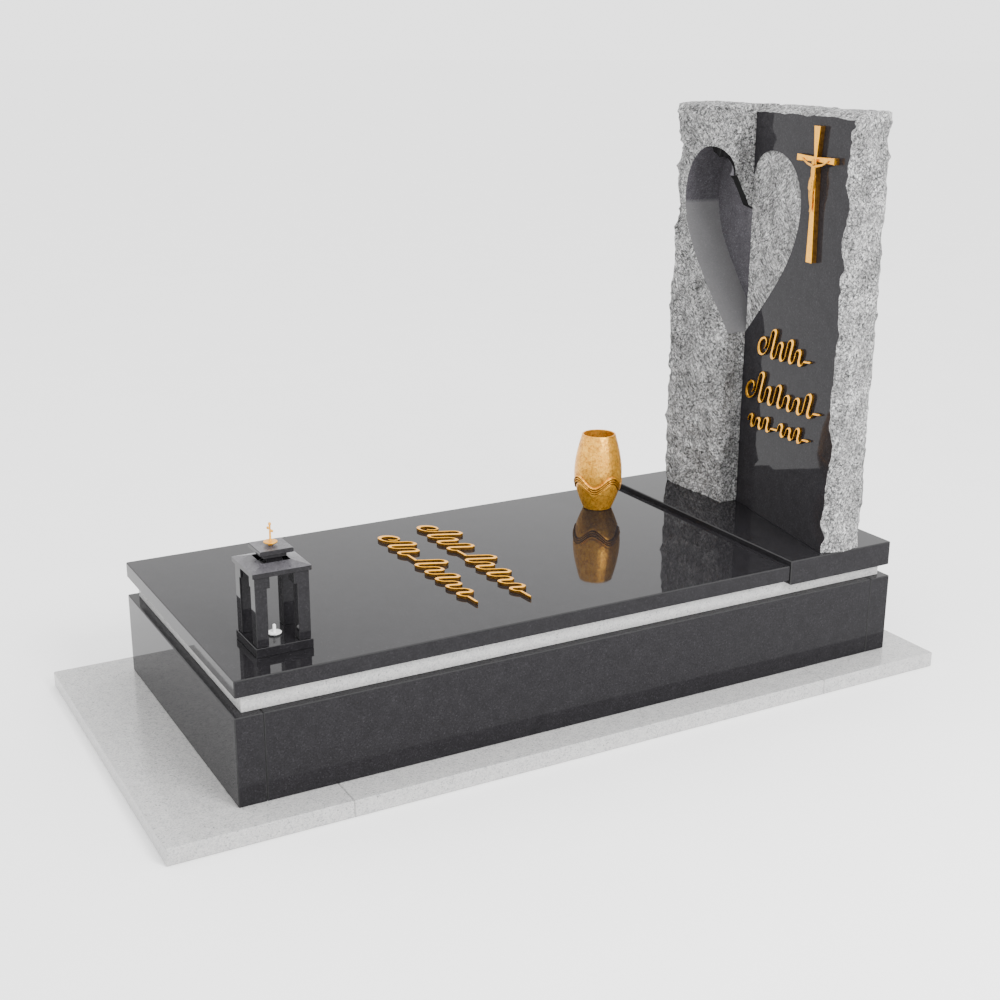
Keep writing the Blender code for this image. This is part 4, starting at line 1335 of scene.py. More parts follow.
@dataclass
class Figure:
    """The calm small figure on the cross, built of tapered limbs that are melted together.

    All lengths of the limbs are shares of its height, about the crossing: across, forward and up.

    Attributes:
        headstone: the stones.
        cross: the cross that it hangs on.
        height: its height.
        reach: the hands' place as a share of the arms.
        flat: share of its depth that stays.
        sunk: how deep its back is cut off.
        aside: how far it hangs beside the middle.
        skin_cell: size of the voxel skin's cells.
        groove_gain: how dark the painted shade in its hollows is for each metre.
    """

    headstone: Headstone
    cross: Cross
    height: float = 0.150
    reach: float = 0.67
    flat: float = 0.80
    sunk: float = 0.0015
    aside: float = 0.0025
    skin_cell: float = 0.0010
    groove_gain: float = 30000.0

    def limbs(self) -> np.ndarray:
        """Return the limbs: start, end, the two radii, and how flat the section is."""
        hand = self.cross.span / 2 * self.reach / self.height
        rows = [
            ((0.010, 0.066, -0.062), (0.008, 0.066, -0.024), 0.034, 0.038, 1.0),
            ((0.012, 0.078, -0.078), (0.010, 0.080, -0.066), 0.018, 0.022, 1.0),
            ((0.004, 0.084, -0.052), (0.004, 0.094, -0.058), 0.006, 0.008, 1.0),
            ((0.004, 0.045, -0.102), (0.002, 0.040, -0.130), 0.026, 0.030, 1.0),
            ((-0.036, 0.040, -0.122), (0.036, 0.040, -0.122), 0.026, 0.026, 1.0),
            ((0.0, 0.036, -0.155), (-0.004, 0.040, -0.225), 0.062, 0.058, 0.9),
            ((-0.004, 0.040, -0.225), (-0.010, 0.040, -0.320), 0.055, 0.050, 0.9),
            ((-0.012, 0.042, -0.340), (-0.016, 0.046, -0.400), 0.062, 0.074, 0.95),
            ((-0.016, 0.048, -0.400), (-0.020, 0.052, -0.500), 0.076, 0.078, 0.95),
            ((-0.062, 0.060, -0.350), (0.052, 0.078, -0.400), 0.016, 0.018, 1.0),
            ((-0.066, 0.060, -0.378), (0.044, 0.088, -0.440), 0.014, 0.018, 1.0),
            ((0.050, 0.076, -0.395), (0.056, 0.070, -0.520), 0.022, 0.010, 1.0),
            ((-0.050, 0.072, -0.470), (0.020, 0.092, -0.500), 0.012, 0.014, 1.0),
        ]
        for k in range(4):
            drop = 0.020 * k
            rows.append(((-0.044, 0.062, -0.178 - drop), (-0.010, 0.086, -0.170 - drop), 0.0052, 0.0058, 1.0))
            rows.append(((0.044, 0.062, -0.178 - drop), (0.006, 0.086, -0.170 - drop), 0.0052, 0.0058, 1.0))
        for k in range(5):
            lean = 0.010 * (k - 2)
            rows.append(((0.026 * math.sin(1.3 * k), 0.060, -0.010 + 0.003 * k),
                         (-0.020 + lean, 0.052, -0.085 - 0.004 * k), 0.012, 0.007, 1.0))
        for side in (-1, 1):
            shoulder = (0.054 * side, 0.036, -0.118)
            elbow = (0.5 * (hand + 0.056) * side, 0.026, -0.088)
            wrist = (hand * 0.93 * side, 0.022, -0.028)
            palm = (hand * side, 0.024, -0.012)
            fingers = (hand * 1.05 * side, 0.026, 0.004)
            hip = (-0.020 + 0.028 * side, 0.052, -0.480)
            knee = (-0.010 + 0.023 * side, 0.070, -0.640)
            calf = (-0.014 + 0.020 * side, 0.050, -0.735)
            ankle = (-0.018 + 0.012 * side, 0.038, -0.850)
            toe = (-0.016 + 0.010 * side, 0.056, -0.925)
            rows += [(shoulder, elbow, 0.030, 0.021, 1.0), (elbow, wrist, 0.022, 0.014, 1.0),
                     (wrist, palm, 0.014, 0.017, 1.0), (palm, fingers, 0.012, 0.008, 1.0),
                     (hip, knee, 0.042, 0.031, 1.0), (knee, calf, 0.030, 0.029, 1.0),
                     (calf, ankle, 0.029, 0.018, 1.0), (ankle, toe, 0.019, 0.014, 1.0)]
        return np.array([(*a, *b, r, q, flat) for a, b, r, q, flat in rows])

    def capsules(self, limbs: np.ndarray) -> np.ndarray:
        """Return a grid of points for each limb: a tapered tube with round ends.

        Args:
            limbs: rows of start, end, radii and flatness.

        Returns:
            Array of limbs, rings, columns and coordinates.
        """
        start, end = limbs[:, 0:3], limbs[:, 3:6]
        axis = end - start
        length = np.linalg.norm(axis, axis=1, keepdims=True)
        axis = axis / length
        forward, aside = np.array([[0.0, 1.0, 0.0]]), np.array([[1.0, 0.0, 0.0]])
        helper = np.where(np.abs(axis[:, 1:2]) < 0.9, forward, aside)
        side = np.cross(axis, helper)
        side /= np.linalg.norm(side, axis=1, keepdims=True)
        deep = np.cross(side, axis)
        turn = np.linspace(0.0, np.pi, 13)
        along = -np.cos(turn)
        ring = np.sin(turn)
        share = smooth_step(along, -0.05, 0.05)
        radius = limbs[:, 6:7] * (1 - share) + limbs[:, 7:8] * share
        centre = start[:, None] * (1 - share)[None, :, None] + end[:, None] * share[None, :, None]
        centre = centre + axis[:, None] * (radius * along)[..., None]
        angle = full_circle(16)
        spoke = (side[:, None] * np.cos(angle)[None, :, None]
                 + deep[:, None] * (np.sin(angle)[None, :] * limbs[:, 8:9])[..., None])
        return centre[:, :, None] + spoke[:, None] * (radius * ring)[:, :, None, None]

    def build(self, finishes: Finishes) -> None:
        """Build the figure: limbs joined by a fine voxel skin, smoothed, flat at the back.

        Args:
            finishes: the memorial's materials.
        """
        skin = Skin()
        for grid in self.capsules(self.limbs()) * self.height:
            skin.add(grid, closed=True)
        raw = skin.build("figure_limbs", [], merge=0.000005)
        melt = raw.modifiers.new("melt", "REMESH")
        melt.mode = "VOXEL"
        melt.voxel_size = self.skin_cell
        soft = raw.modifiers.new("soften", "SMOOTH")
        soft.factor = 0.5
        soft.iterations = 3
        mesh = bpy.data.meshes.new_from_object(raw.evaluated_get(bpy.context.evaluated_depsgraph_get()))
        bpy.data.objects.remove(raw, do_unlink=True)
        points = read_vectors(mesh.vertices, "co")
        forward = np.maximum(self.flat * points[:, 1] - self.sunk, 0.0)
        local = np.stack([self.cross.out + self.aside + points[:, 0], self.cross.depth + 2 * GAP + forward,
                          self.cross.arm + points[:, 2]], axis=-1)
        mesh.vertices.foreach_set("co", self.headstone.on_panel(local).ravel())
        mesh.name = "gilt_figure"
        mesh.materials.clear()
        mesh.materials.append(finishes.gilt_soft)
        mesh.polygons.foreach_set("use_smooth", np.ones(len(mesh.polygons), bool))
        turn_outwards(mesh)
        # Painted shade in the figure's creases, through the groove attribute.
        mark_hollows(mesh, self.groove_gain)
        dress(add_object("gilt_figure", mesh), "gilt_metal", "corpus")


@dataclass(frozen=True)
class StrokeRow:
    """One joined row of pen strokes: legs with round turns, in groups with low links.

    Attributes:
        name: name of the piece.
        node: the CAD node that it stands for.
        groups: number of legs, tall height and low height of each group.
        pitch: distance between legs.
        link: length of the low link between groups.
        curl: radius of the opening curl, or 0 for none.
        width: the broadest stroke.
        thin: the thinnest as a share of it.
        thick: how far the strokes stand out.
        slant: how far they lean.
        step: distance between samples.
    """

    name: str
    node: str
    groups: tuple[tuple[int, float, float], ...]
    pitch: float
    link: float
    curl: float = 0.034
    width: float = 0.0105
    thin: float = 0.30
    thick: float = 0.009
    slant: float = 0.42
    step: float = 0.0011

    def line(self) -> np.ndarray:
        """Return the middle line before the slant, evenly sampled and softened.

        An opening curl, a spiral arc, runs into legs that half circles join at top
        and bottom; low links run between the groups.
        """
        radius = self.pitch / 2
        parts = []
        if self.curl:
            share = np.linspace(0.0, 1.0, 60)
            angle = -FULL_TURN * 1.15 * (1 - share)
            reach = self.curl * (0.42 + 0.58 * share)
            spiral = [-self.curl + reach * np.cos(angle), self.curl + reach * np.sin(angle)]
            parts.append(np.stack(spiral, axis=1))
        x = 0.0
        turn = np.linspace(np.pi, 0.0, 13)
        for count, tall, low in self.groups:
            others = [low * (1 + 0.28 * math.sin(1.9 * (i // 2))) for i in range(count - 2)]
            heights = np.array([tall, tall] + others)
            for i, height in enumerate(heights):
                up = i % 2 == 0
                start = (self.curl if self.curl and x == 0.0 else radius) if up else heights[i - 1] - radius
                stop = height - radius if up else radius
                parts.append(np.array([[x, start], [x, stop]]))
                arch = radius * np.sin(turn) * (1 if up else -1)
                parts.append(np.stack([x + radius + radius * np.cos(turn), stop + arch], axis=1))
                x += self.pitch
            parts.append(np.array([[x, radius], [x + self.link, radius * 1.15]]))
            x += self.link
        rough = np.concatenate(parts)
        step = np.linalg.norm(np.diff(rough, axis=0), axis=1)
        rough = rough[np.concatenate([[True], step > 1e-6])]
        line = sample(rough, np.arange(0.0, walk(rough)[-1], self.step))
        weight = np.array([1.0, 4.0, 6.0, 4.0, 1.0]) / 16.0
        for _ in range(3):
            padded = np.concatenate([line[:1], line[:1], line, line[-1:], line[-1:]])
            line = np.stack([np.convolve(padded[:, k], weight, "valid") for k in range(2)], axis=1)
        return line

    def grid(self) -> np.ndarray:
        """Return the stroke as a grid about its middle: broad downstrokes, thin upstrokes, bevelled top."""
        line = self.line()
        way = headings(line)
        pen = smooth_step(-way[:, 1], -0.9, 0.9)
        from_end = np.minimum(np.arange(len(line)), np.arange(len(line))[::-1])
        half = self.width / 2 * (self.thin + (1 - self.thin) * pen) * np.minimum(1.0, from_end / 9.0 + 0.25)
        level = np.zeros(len(line))
        flat = np.stack([line[:, 0], line[:, 1], level], axis=1)
        across = np.stack([-way[:, 1], way[:, 0], level], axis=1)
        bevel = min(0.0011, self.width / 5)
        grid = bar(flat, half, self.thick, bevel, across, np.array([0.0, 0.0, 1.0]))
        grid[..., 0] += self.slant * grid[..., 1]
        low, high = grid[..., :2].min(axis=(0, 1)), grid[..., :2].max(axis=(0, 1))
        grid[..., :2] -= (low + high) / 2
        return grid

    def build(self, carry: Carry, finishes: Finishes) -> None:
        """Build the row.

        Args:
            carry: turns its flat coordinates into the row frame.
            finishes: the memorial's materials.
        """
        skin = Skin()
        add_bar(skin, carry(self.grid()))
        thing = skin.build(self.name, [finishes.gilt, finishes.shaded_gilt], 0.000005, crease=30.0)
        dress(thing, "gilt_metal", self.node)


@dataclass
class GiltRows:
    """The rows on the panel and on the ledger."""

    headstone: Headstone
    ledger_foot: float
    ledger_top: float
    tilt: float = math.radians(4.0)

    def on_panel(self, out: float, height: float) -> Carry:
        """Return the mapping of a row's flat points to the panel.

        Args:
            out: the row's middle along the panel.
            height: its height above the raised slab.

        Returns:
            The mapping, which turns the row by the tilt.
        """
        c, s = math.cos(self.tilt), math.sin(self.tilt)

        def carry(p: np.ndarray) -> np.ndarray:
            """Return the points in the row frame."""
            x = out + p[..., 0] * c - p[..., 1] * s
            z = height + p[..., 0] * s + p[..., 1] * c
            return self.headstone.on_panel(np.stack([x, GAP + p[..., 2], z], axis=-1))

        return carry

    def on_ledger(self, back: float) -> Carry:
        """Return the mapping of a row's flat points to the ledger, back from its foot end."""
        return lambda p: p + np.array([0.0, self.ledger_foot + back, self.ledger_top + GAP])

    def build(self, finishes: Finishes) -> None:
        """Build the five rows.

        Args:
            finishes: the memorial's materials.
        """
        rows = (
            (StrokeRow("gilt_row_1", "panel_strokes_1", ((8, 0.085, 0.052),), 0.0270, 0.040),
             self.on_panel(0.258, 0.541)),
            (StrokeRow("gilt_row_2", "panel_strokes_2", ((12, 0.090, 0.052),), 0.0290, 0.040),
             self.on_panel(0.262, 0.404)),
            (StrokeRow("gilt_row_3", "panel_strokes_3", ((6, 0.036, 0.032), (6, 0.036, 0.032)), 0.0245,
                       0.040, 0.0), self.on_panel(0.250, 0.296)),
            (StrokeRow("gilt_row_4", "ledger_strokes_1", ((6, 0.098, 0.060), (10, 0.086, 0.052)), 0.0315,
                       0.050), self.on_ledger(0.883)),
            (StrokeRow("gilt_row_5", "ledger_strokes_2", ((4, 0.078, 0.060), (10, 0.088, 0.052)), 0.0315,
                       0.050), self.on_ledger(0.737)),
        )
        for row, carry in rows:
            row.build(carry, finishes)


# Lantern


def square_rings(profile: np.ndarray, corner: float) -> np.ndarray:
    """Return square rings with cut corners.

    Args:
        profile: rows of centre x, centre y, half side and height.
        corner: how much is cut off at the corners.

    Returns:
        Grid of rings, columns around and coordinates.
    """
    cut = np.minimum(corner, profile[:, 2] * 0.4)[:, None]
    half = profile[:, 2:3]
    one = np.array([1, 1, 0, 0, -1, -1, 0, 0]), np.array([0, 0, 1, 1, 0, 0, -1, -1])
    less = np.array([0, 0, 1, -1, 0, 0, -1, 1]), np.array([-1, 1, 0, 0, 1, -1, 0, 0])
    x = profile[:, 0:1] + half * one[0] + (half - cut) * less[0]
    y = profile[:, 1:2] + half * one[1] + (half - cut) * less[1]
    return np.stack([x, y, profile[:, 3:4] * np.ones_like(x)], axis=-1)


@dataclass
class Lantern:
    """The stone lantern: base, four posts with heads, cap, lid, finial and candle.

    Attributes:
        centre: where it stands.
        base_z: the base's underside and top.
        side: the base's width.
        post: width of a post.
        inset: how far the posts stand inside the base's edge.
        head_out: how much wider a post's head is.
        head_h: its height.
        chamfer: size of the chamfers.
        cap_t: the cap's thickness at its eaves.
        hip_margin: flat rim of the eaves.
        recess: width of the recess in the cap.
        recess_h: its depth.
        hole: width of the hole in its floor.
        neck: width of the lid's neck.
        neck_drop: how far it reaches down.
        shoulder: width of the lid's shoulder in the recess.
        shoulder_t: its thickness.
        plug_gap: air between the lid's plug and the hole.
        lid_t: the lid's thickness.
        finial_r: radius of the gilt disc.
        finial_bar: radius of the small cross's bars, before they taper.
        finial_span: half the span of its arms.
        knob: radius of the knobs.
    """

    centre: tuple[float, float]
    base_z: tuple[float, float]
    side: float
    post: float = 0.030
    inset: float = 0.004
    head_out: float = 0.008
    head_h: float = 0.029
    chamfer: float = 0.0012
    cap_t: float = 0.013
    hip_margin: float = 0.003
    recess: float = 0.072
    recess_h: float = 0.016
    hole: float = 0.044
    neck: float = 0.058
    neck_drop: float = 0.011
    shoulder: float = 0.052
    shoulder_t: float = 0.004
    plug_gap: float = 0.0015
    lid_t: float = 0.0115
    finial_r: float = 0.017
    finial_bar: float = 0.0026
    finial_span: float = 0.017
    knob: float = 0.0034

    def rows(self, *rows: tuple[float, float], closed: bool = False) -> np.ndarray:
        """Return a profile about the lantern's middle, its ends drawn to the middle unless closed."""
        table = list(rows)
        if closed:
            table.append(rows[0])
        else:
            table = [(0.0, rows[0][1])] + table + [(0.0, rows[-1][1])]
        return np.array([(self.centre[0], self.centre[1], half, z) for half, z in table])

    def slab(self, half: float, z0: float, z1: float) -> tuple[tuple[float, float], ...]:
        """Return the outer profile of a slab with chamfered edges."""
        c = self.chamfer
        return (half - c, z0), (half, z0 + c), (half, z1 - c), (half - c, z1)

    def stone(self, name: str, profile: np.ndarray, finishes: Finishes, node: str, honed: bool = False
              ) -> None:
        """Make one square stone of the lantern.

        Args:
            name: the piece's name.
            profile: rows of centre x, centre y, half side and height.
            finishes: the memorial's materials.
            node: the CAD node that it stands for.
            honed: whether its upper faces are honed.
        """
        skin = Skin()
        skin.add(square_rings(profile, self.chamfer), closed=True)
        thing = skin.build(name, [finishes.polished, finishes.honed], 0.00001, crease=20.0)
        if honed:
            faces = thing.data.polygons
            faces.foreach_set("material_index", (read_vectors(faces, "normal")[:, 2] > 0.75).astype(np.int32))
        dress(thing, "polished_granite", node)

    def build(self, finishes: Finishes) -> None:
        """Build the lantern between the levels of its CAD boxes."""
        foot = self.rows(*self.slab(self.side / 2, *self.base_z))
        self.stone("lantern_foot", foot, finishes, "lantern_base")
        for number, (sx, sy) in enumerate(((-1, -1), (-1, 1), (1, -1), (1, 1)), 1):
            self.build_post(number, sx, sy, finishes)
        self.build_cap(finishes)
        self.build_lid(finishes)
        self.build_finial(finishes)
        self.build_candle(finishes)

    def build_post(self, number: int, sx: int, sy: int, finishes: Finishes) -> None:
        """Build one post whose head is wider to the inside.

        Args:
            number: the post's number.
            sx: its side along x, -1 or 1.
            sy: its side along y.
            finishes: the memorial's materials.
        """
        low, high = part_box(f"lantern_post_{number}")
        outer = self.side / 2 - self.inset
        c = self.chamfer
        step = high.z - self.head_h

        def row(side: float, less: float, z: float) -> tuple[float, float, float, float]:
            """Return one row of the profile: the outer faces stay, whatever the side."""
            reach = outer - side / 2
            return self.centre[0] + sx * reach, self.centre[1] + sy * reach, side / 2 - less, z

        wide = self.post + self.head_out
        table = [row(self.post, self.post / 2, low.z), row(self.post, c, low.z),
                 row(self.post, 0.0, low.z + c), row(self.post, 0.0, step), row(wide, 0.0, step),
                 row(wide, 0.0, high.z - c), row(wide, c, high.z), row(wide, wide / 2, high.z)]
        self.stone(f"lantern_pillar_{number}", np.array(table), finishes, f"lantern_post_{number}")

    def build_cap(self, finishes: Finishes) -> None:
        """Build the cap: flat eaves, a low hip up to the recess, and a hole in its floor."""
        low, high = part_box("lantern_cap")
        half, c = (high.x - low.x) / 2, self.chamfer
        floor, eaves = high.z - self.recess_h, low.z + self.cap_t
        hole, recess = self.hole / 2, self.recess / 2
        profile = self.rows((hole, low.z), (half - c, low.z), (half, low.z + c), (half, eaves - c),
                            (half - self.hip_margin, eaves), (recess + 0.001, high.z),
                            (recess, high.z - 0.0005), (recess, floor), (hole, floor), closed=True)
        self.stone("lantern_top", profile, finishes, "lantern_cap", honed=True)

    def build_lid(self, finishes: Finishes) -> None:
        """Build the lid: plug, shoulder, stem, neck and plate."""
        low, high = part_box("lantern_lid")
        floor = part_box("lantern_cap")[1].z - self.recess_h + GAP
        half = (high.x - low.x) / 2
        plate = high.z - self.lid_t
        stem, wide, neck = self.hole / 2 - self.plug_gap, self.shoulder / 2, self.neck / 2
        neck_z, shoulder_z = plate - self.neck_drop, floor + self.shoulder_t
        profile = self.rows((stem, low.z), (stem, floor), (wide, floor), (wide, shoulder_z),
                            (stem, shoulder_z), (stem, neck_z), (neck, neck_z), (neck, plate),
                            *self.slab(half, plate, high.z))
        self.stone("lantern_cover", profile, finishes, "lantern_lid", honed=True)

    def turned(self, profile: np.ndarray, around: int = 64) -> np.ndarray:
        """Return rings of a turned shape from rows of radius and height."""
        return turned_rings(self.centre, profile[:, :1], full_circle(around), profile[:, 1:])

    def build_finial(self, finishes: Finishes) -> None:
        """Build the gilt disc, its stand and the small cross of round bars with knobs."""
        low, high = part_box("lantern_finial")
        z, r = low.z, self.finial_r
        disc = np.array([(0.0, 0.0), (0.0056, 0.0), (0.0046, 0.0016), (0.0046, 0.0026), (0.0090, 0.0034),
                         (0.0140, 0.0046), (0.0163, 0.0062), (r, 0.0078), (0.0166, 0.0090), (0.0155, 0.0095),
                         (0.0120, 0.0089), (0.0060, 0.0094), (0.0036, 0.0112), (self.finial_bar, 0.0150)])
        top = high.z - z
        arm = 0.68 * top
        stem = np.array([(self.finial_bar * 0.85, arm - 0.004), (self.finial_bar * 0.8, arm + 0.004),
                         (self.finial_bar * 0.9, top - 0.008), (0.0034, top - 0.0055), (0.0036, top - 0.0030),
                         (0.0024, top - 0.0008), (0.0, top)])
        profile = np.concatenate([disc, stem])
        skin = Skin()
        skin.add(self.turned(profile + np.array([0.0, z])), closed=True)
        share = np.linspace(-1.0, 1.0, 33)
        along = np.abs(share) * self.finial_span
        ball = np.sqrt(np.maximum(self.knob ** 2 - (along - self.finial_span + self.knob) ** 2, 0.0))
        radius = np.maximum(np.where(along < 0.0115, self.finial_bar * 0.8, 0.0), ball)
        angle = full_circle(24)
        bar_x = self.centre[0] + share[:, None] * self.finial_span * np.ones_like(angle)
        bar_y = self.centre[1] + radius[:, None] * np.cos(angle)
        bar_z = z + arm + radius[:, None] * np.sin(angle)
        skin.add(np.stack([bar_x, bar_y, bar_z], axis=-1), closed=True)
        dress(skin.build("gilt_finial", [finishes.gilt_soft], 0.000005), "gilt_metal", "lantern_finial")

    def build_candle(self, finishes: Finishes) -> None:
        """Build the candle stub in its shallow dish."""
        low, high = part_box("lantern_candle")
        top = high.z - low.z
        profile = np.array([(0.0, 0.0), (0.0125, 0.0), (0.0155, 0.0008), (0.0172, 0.0030), (0.0175, 0.0044),
                            (0.0172, 0.0050), (0.0163, 0.0048), (0.0140, 0.0040), (0.0070, 0.0036),
                            (0.0050, 0.0042), (0.0042, 0.0056), (0.0041, top - 0.0060), (0.0039, top - 0.0040),
                            (0.0030, top - 0.0030), (0.0012, top - 0.0027), (0.0007, top - 0.0020),
                            (0.0006, top - 0.0003), (0.0, top)])
        skin = Skin()
        skin.add(self.turned(profile + np.array([0.0, low.z])), closed=True)
        dress(skin.build("white_candle", [finishes.candle], 0.000005), "candle_white", "lantern_candle")


# Vase


@dataclass
class Vase:
    """The golden vase: a swelling shell with three wavy ridges.

    Attributes:
        centre: where it stands.
        foot_z: its underside.
        height: its height.
        foot_r: radius of the foot.
        belly_r: radius of the belly.
        belly_h: the belly's height.
        mouth_r: radius of the mouth.
        wall: thickness of the wall.
        floor: thickness of the floor.
        ridge_h: mean height of the middle ridge.
        ridge_wave: how far the ridges swing up and down.
        ridge_gap: distance between ridges.
        ridge_out: how far they stand out.
        ridge_half: half a ridge's height.
        ridge_count: number of ridges.
        band_deep: how far the wall lies back round the ridges.
        band_half: half the height of that band.
        groove_half: half the height of a groove's band of painted shade.
        waves: swings round the wall.
        phase: turn of the swings.
        around: columns round the wall.
    """

    centre: tuple[float, float]
    foot_z: float
    height: float = 0.238
    foot_r: float = 0.044
    belly_r: float = 0.0745
    belly_h: float = 0.112
    mouth_r: float = 0.052
    wall: float = 0.005
    floor: float = 0.008
    ridge_h: float = 0.086
    ridge_wave: float = 0.0165
    ridge_gap: float = 0.0076
    ridge_out: float = 0.0054
    ridge_half: float = 0.0027
    ridge_count: int = 3
    band_deep: float = 0.0022
    band_half: float = 0.0145
    groove_half: float = 0.0019
    waves: int = 4
    phase: float = math.radians(-3.0)
    around: int = 300

    def radius(self, h: np.ndarray) -> np.ndarray:
        """Return the plain radius: a sine swell to the belly, then a cosine to the mouth."""
        low = self.foot_r + (self.belly_r - self.foot_r) * np.sin(np.pi / 2 * np.clip(h / self.belly_h, 0, 1))
        share = np.clip((h - self.belly_h) / (self.height - self.belly_h), 0, 1)
        high = self.mouth_r + (self.belly_r - self.mouth_r) * np.cos(np.pi / 2 * share)
        return np.where(h <= self.belly_h, low, high)

    def build(self, finishes: Finishes) -> None:
        """Build the shell: outer wall with ridges, rounded rim, inner wall and floor.

        Each ridge falls off with the fourth power of the height above a line that
        waves round the wall as a cosine of the angle.

        Args:
            finishes: the memorial's materials.
        """
        angle = full_circle(self.around)
        half_wall = self.wall / 2
        heights = np.linspace(0.002, self.height - half_wall, 230)[:, None]
        wave = self.wave(angle)
        swell = np.zeros((len(heights), self.around))
        for k in range(self.ridge_count):
            level = wave + (k - (self.ridge_count - 1) / 2) * self.ridge_gap
            swell = np.maximum(swell, self.ridge_out * np.exp(-((heights - level) / self.ridge_half) ** 4))
        band = self.band_deep * np.exp(-((heights - wave) / self.band_half) ** 6)
        rim_turn = np.linspace(0.0, np.pi, 9)[1:-1, None]
        inner_h = np.linspace(self.height - half_wall, self.floor, 60)[:, None]
        share = np.linspace(1.0, 0.0, 10)[:, None]
        floor_r = self.radius(np.array(self.floor)) - self.wall
        parts = (
            ((self.foot_r - 0.002) * share[::-1], 0.0 * share),
            (self.radius(heights) - 0.0004 + swell - band, heights),
            (self.mouth_r - half_wall + half_wall * np.cos(rim_turn),
             self.height - half_wall + half_wall * np.sin(rim_turn)),
            (self.radius(inner_h) - self.wall, inner_h),
            (floor_r * share[1:], np.full_like(share[1:], self.floor)),
        )
        skin = Skin()
        skin.add(np.concatenate([turned_rings(self.centre, r, angle, self.foot_z + h) for r, h in parts]),
                 closed=True)
        thing = skin.build("golden_vase", [finishes.bronze], 0.00001)
        self.mark_grooves(thing.data)
        dress(thing, "golden_bronze", "vase")

    def wave(self, angle: np.ndarray) -> np.ndarray:
        """Return the height of the middle ridge's line at each angle."""
        return self.ridge_h + self.ridge_wave * np.cos(self.waves * (angle + self.phase))

    def mark_grooves(self, mesh: bpy.types.Mesh) -> None:
        """Write nearly 1 into the groove attribute between and just under the ridges, else 0: where the
        material paints shade.

        The height below each ridge's waving line picks a narrow band.

        Args:
            mesh: the vase's mesh.
        """
        points = read_vectors(mesh.vertices, "co")
        x, y = points[:, 0] - self.centre[0], points[:, 1] - self.centre[1]
        height = points[:, 2] - self.foot_z
        wave = self.wave(np.arctan2(y, x))
        outside = np.hypot(x, y) > self.radius(height) - self.wall / 2
        dark = np.zeros(len(points))
        for k in range(self.ridge_count):
            level = wave + (k - self.ridge_count / 2) * self.ridge_gap
            dark = np.maximum(dark, bell(height - level, self.groove_half))
        write_groove(mesh, 0.95 * dark * outside)


# Stage


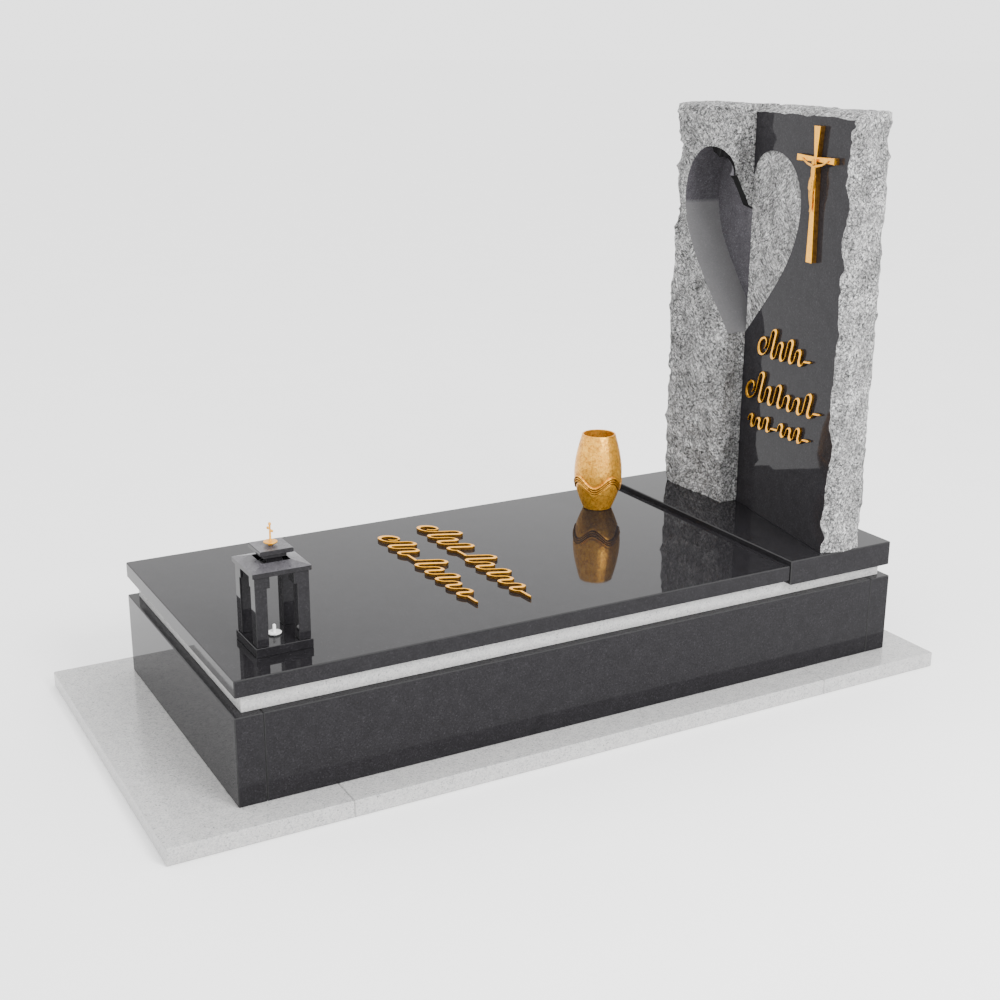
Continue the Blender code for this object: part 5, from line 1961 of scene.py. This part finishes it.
@dataclass
class Stage:
    """Floor, light and the camera at the photo's place.

    Attributes:
        eye: where the camera stands.
        azimuth: the side from which it looks.
        elevation: how far it looks down.
        roll: how far it is tilted.
        focal_px: its focal length in the photo's pixels.
        sensor_mm: width of its sensor.
        surround: strength of the white surround.
        key_place: where the lamp hangs.
        key_aim: what it points at.
        key_side: length of its side.
        key_watts: its power.
        floor_reach: half the floor's side.
        floor_drop: how far the floor lies under the plinth.
    """

    eye: tuple[float, float, float] = (3.3798, -1.8821, 1.7435)
    azimuth: float = math.radians(60.975)
    elevation: float = math.radians(17.339)
    roll: float = math.radians(0.238)
    focal_px: float = 1446.93
    sensor_mm: float = 36.0
    surround: float = 2.5
    key_place: tuple[float, float, float] = (4.5, 0.8, 3.6)
    key_aim: tuple[float, float, float] = (0.0, 0.3, 0.6)
    key_side: float = 2.0
    key_watts: float = 420.0
    floor_reach: float = 200.0
    floor_drop: float = 0.0005

    def camera(self) -> None:
        """Place the camera where the photo was taken from."""
        data = bpy.data.cameras.new("camera")
        data.sensor_width = self.sensor_mm
        data.lens = self.focal_px / PHOTO_SIDE_PX * self.sensor_mm
        thing = add_object("camera", data)
        a, e = self.azimuth, self.elevation
        back = Vector((math.sin(a) * math.cos(e), -math.cos(a) * math.cos(e), math.sin(e)))
        right = Vector((math.cos(a), math.sin(a), 0.0))
        turn = Matrix((right, back.cross(right), back)).transposed().to_4x4()
        thing.matrix_world = Matrix.Translation(self.eye) @ turn @ Matrix.Rotation(self.roll, 4, "Z")
        bpy.context.scene.camera = thing

    def floor(self) -> None:
        """Lay a wide pale floor."""
        skin = Skin()
        line = np.linspace(-self.floor_reach, self.floor_reach, 3)
        x, y = np.meshgrid(line, line, indexing="ij")
        skin.add(np.stack([x, y, np.full_like(x, -self.floor_drop)], axis=-1))
        shade = Shade("studio_floor")
        colour = shade.ramp(shade.noise(3.0, 2.0), [(0.3, grey(0.96)), (0.7, grey(0.975))])
        skin.build("studio_floor", [shade.finish(colour, 0.9)])

    def lights(self) -> None:
        """Light the scene: a white surround and one soft square lamp."""
        world = bpy.data.worlds.new("studio")
        world.use_nodes = True
        background = world.node_tree.nodes["Background"]
        background.inputs["Color"].default_value = (1.0, 1.0, 1.0, 1.0)
        background.inputs["Strength"].default_value = self.surround
        bpy.context.scene.world = world
        data = bpy.data.lights.new("key", "AREA")
        data.shape = "SQUARE"
        data.size = self.key_side
        data.energy = self.key_watts
        thing = add_object("key", data)
        thing.location = self.key_place
        aim = Vector(self.key_aim) - Vector(self.key_place)
        thing.rotation_euler = aim.to_track_quat("-Z", "Y").to_euler()

    def build(self) -> None:
        """Set the whole stage."""
        self.floor()
        self.lights()
        self.camera()
        LOG.info("stage set")


def main() -> None:
    """Load the frame, build and dress every piece, and note the sizes."""
    logging.basicConfig(level=logging.INFO, format="%(message)s")
    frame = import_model()
    finishes = Finishes.make()
    GraveSlabs().dress(frame["nodes"], finishes)
    slab_low, slab_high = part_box("headstone_base")
    joint_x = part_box("headstone_left_block")[1].x
    block_front = slab_low.y + BLOCK_SET_BACK
    headstone = Headstone(joint_x, slab_high.z, block_front, block_front + PANEL_SET_BACK)
    headstone.build(finishes)
    low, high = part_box("vase")
    Vase(((low.x + high.x) / 2, (low.y + high.y) / 2), low.z).build(finishes)
    cross = Cross(headstone)
    cross.build(finishes)
    Figure(headstone, cross).build(finishes)
    ledger_low, ledger_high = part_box("ledger")
    GiltRows(headstone, ledger_low.y, ledger_high.z).build(finishes)
    low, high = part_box("lantern_base")
    Lantern(((low.x + high.x) / 2, (low.y + high.y) / 2), (low.z, high.z), high.x - low.x).build(finishes)
    Stage().build()


if __name__ == "__main__":
    main()
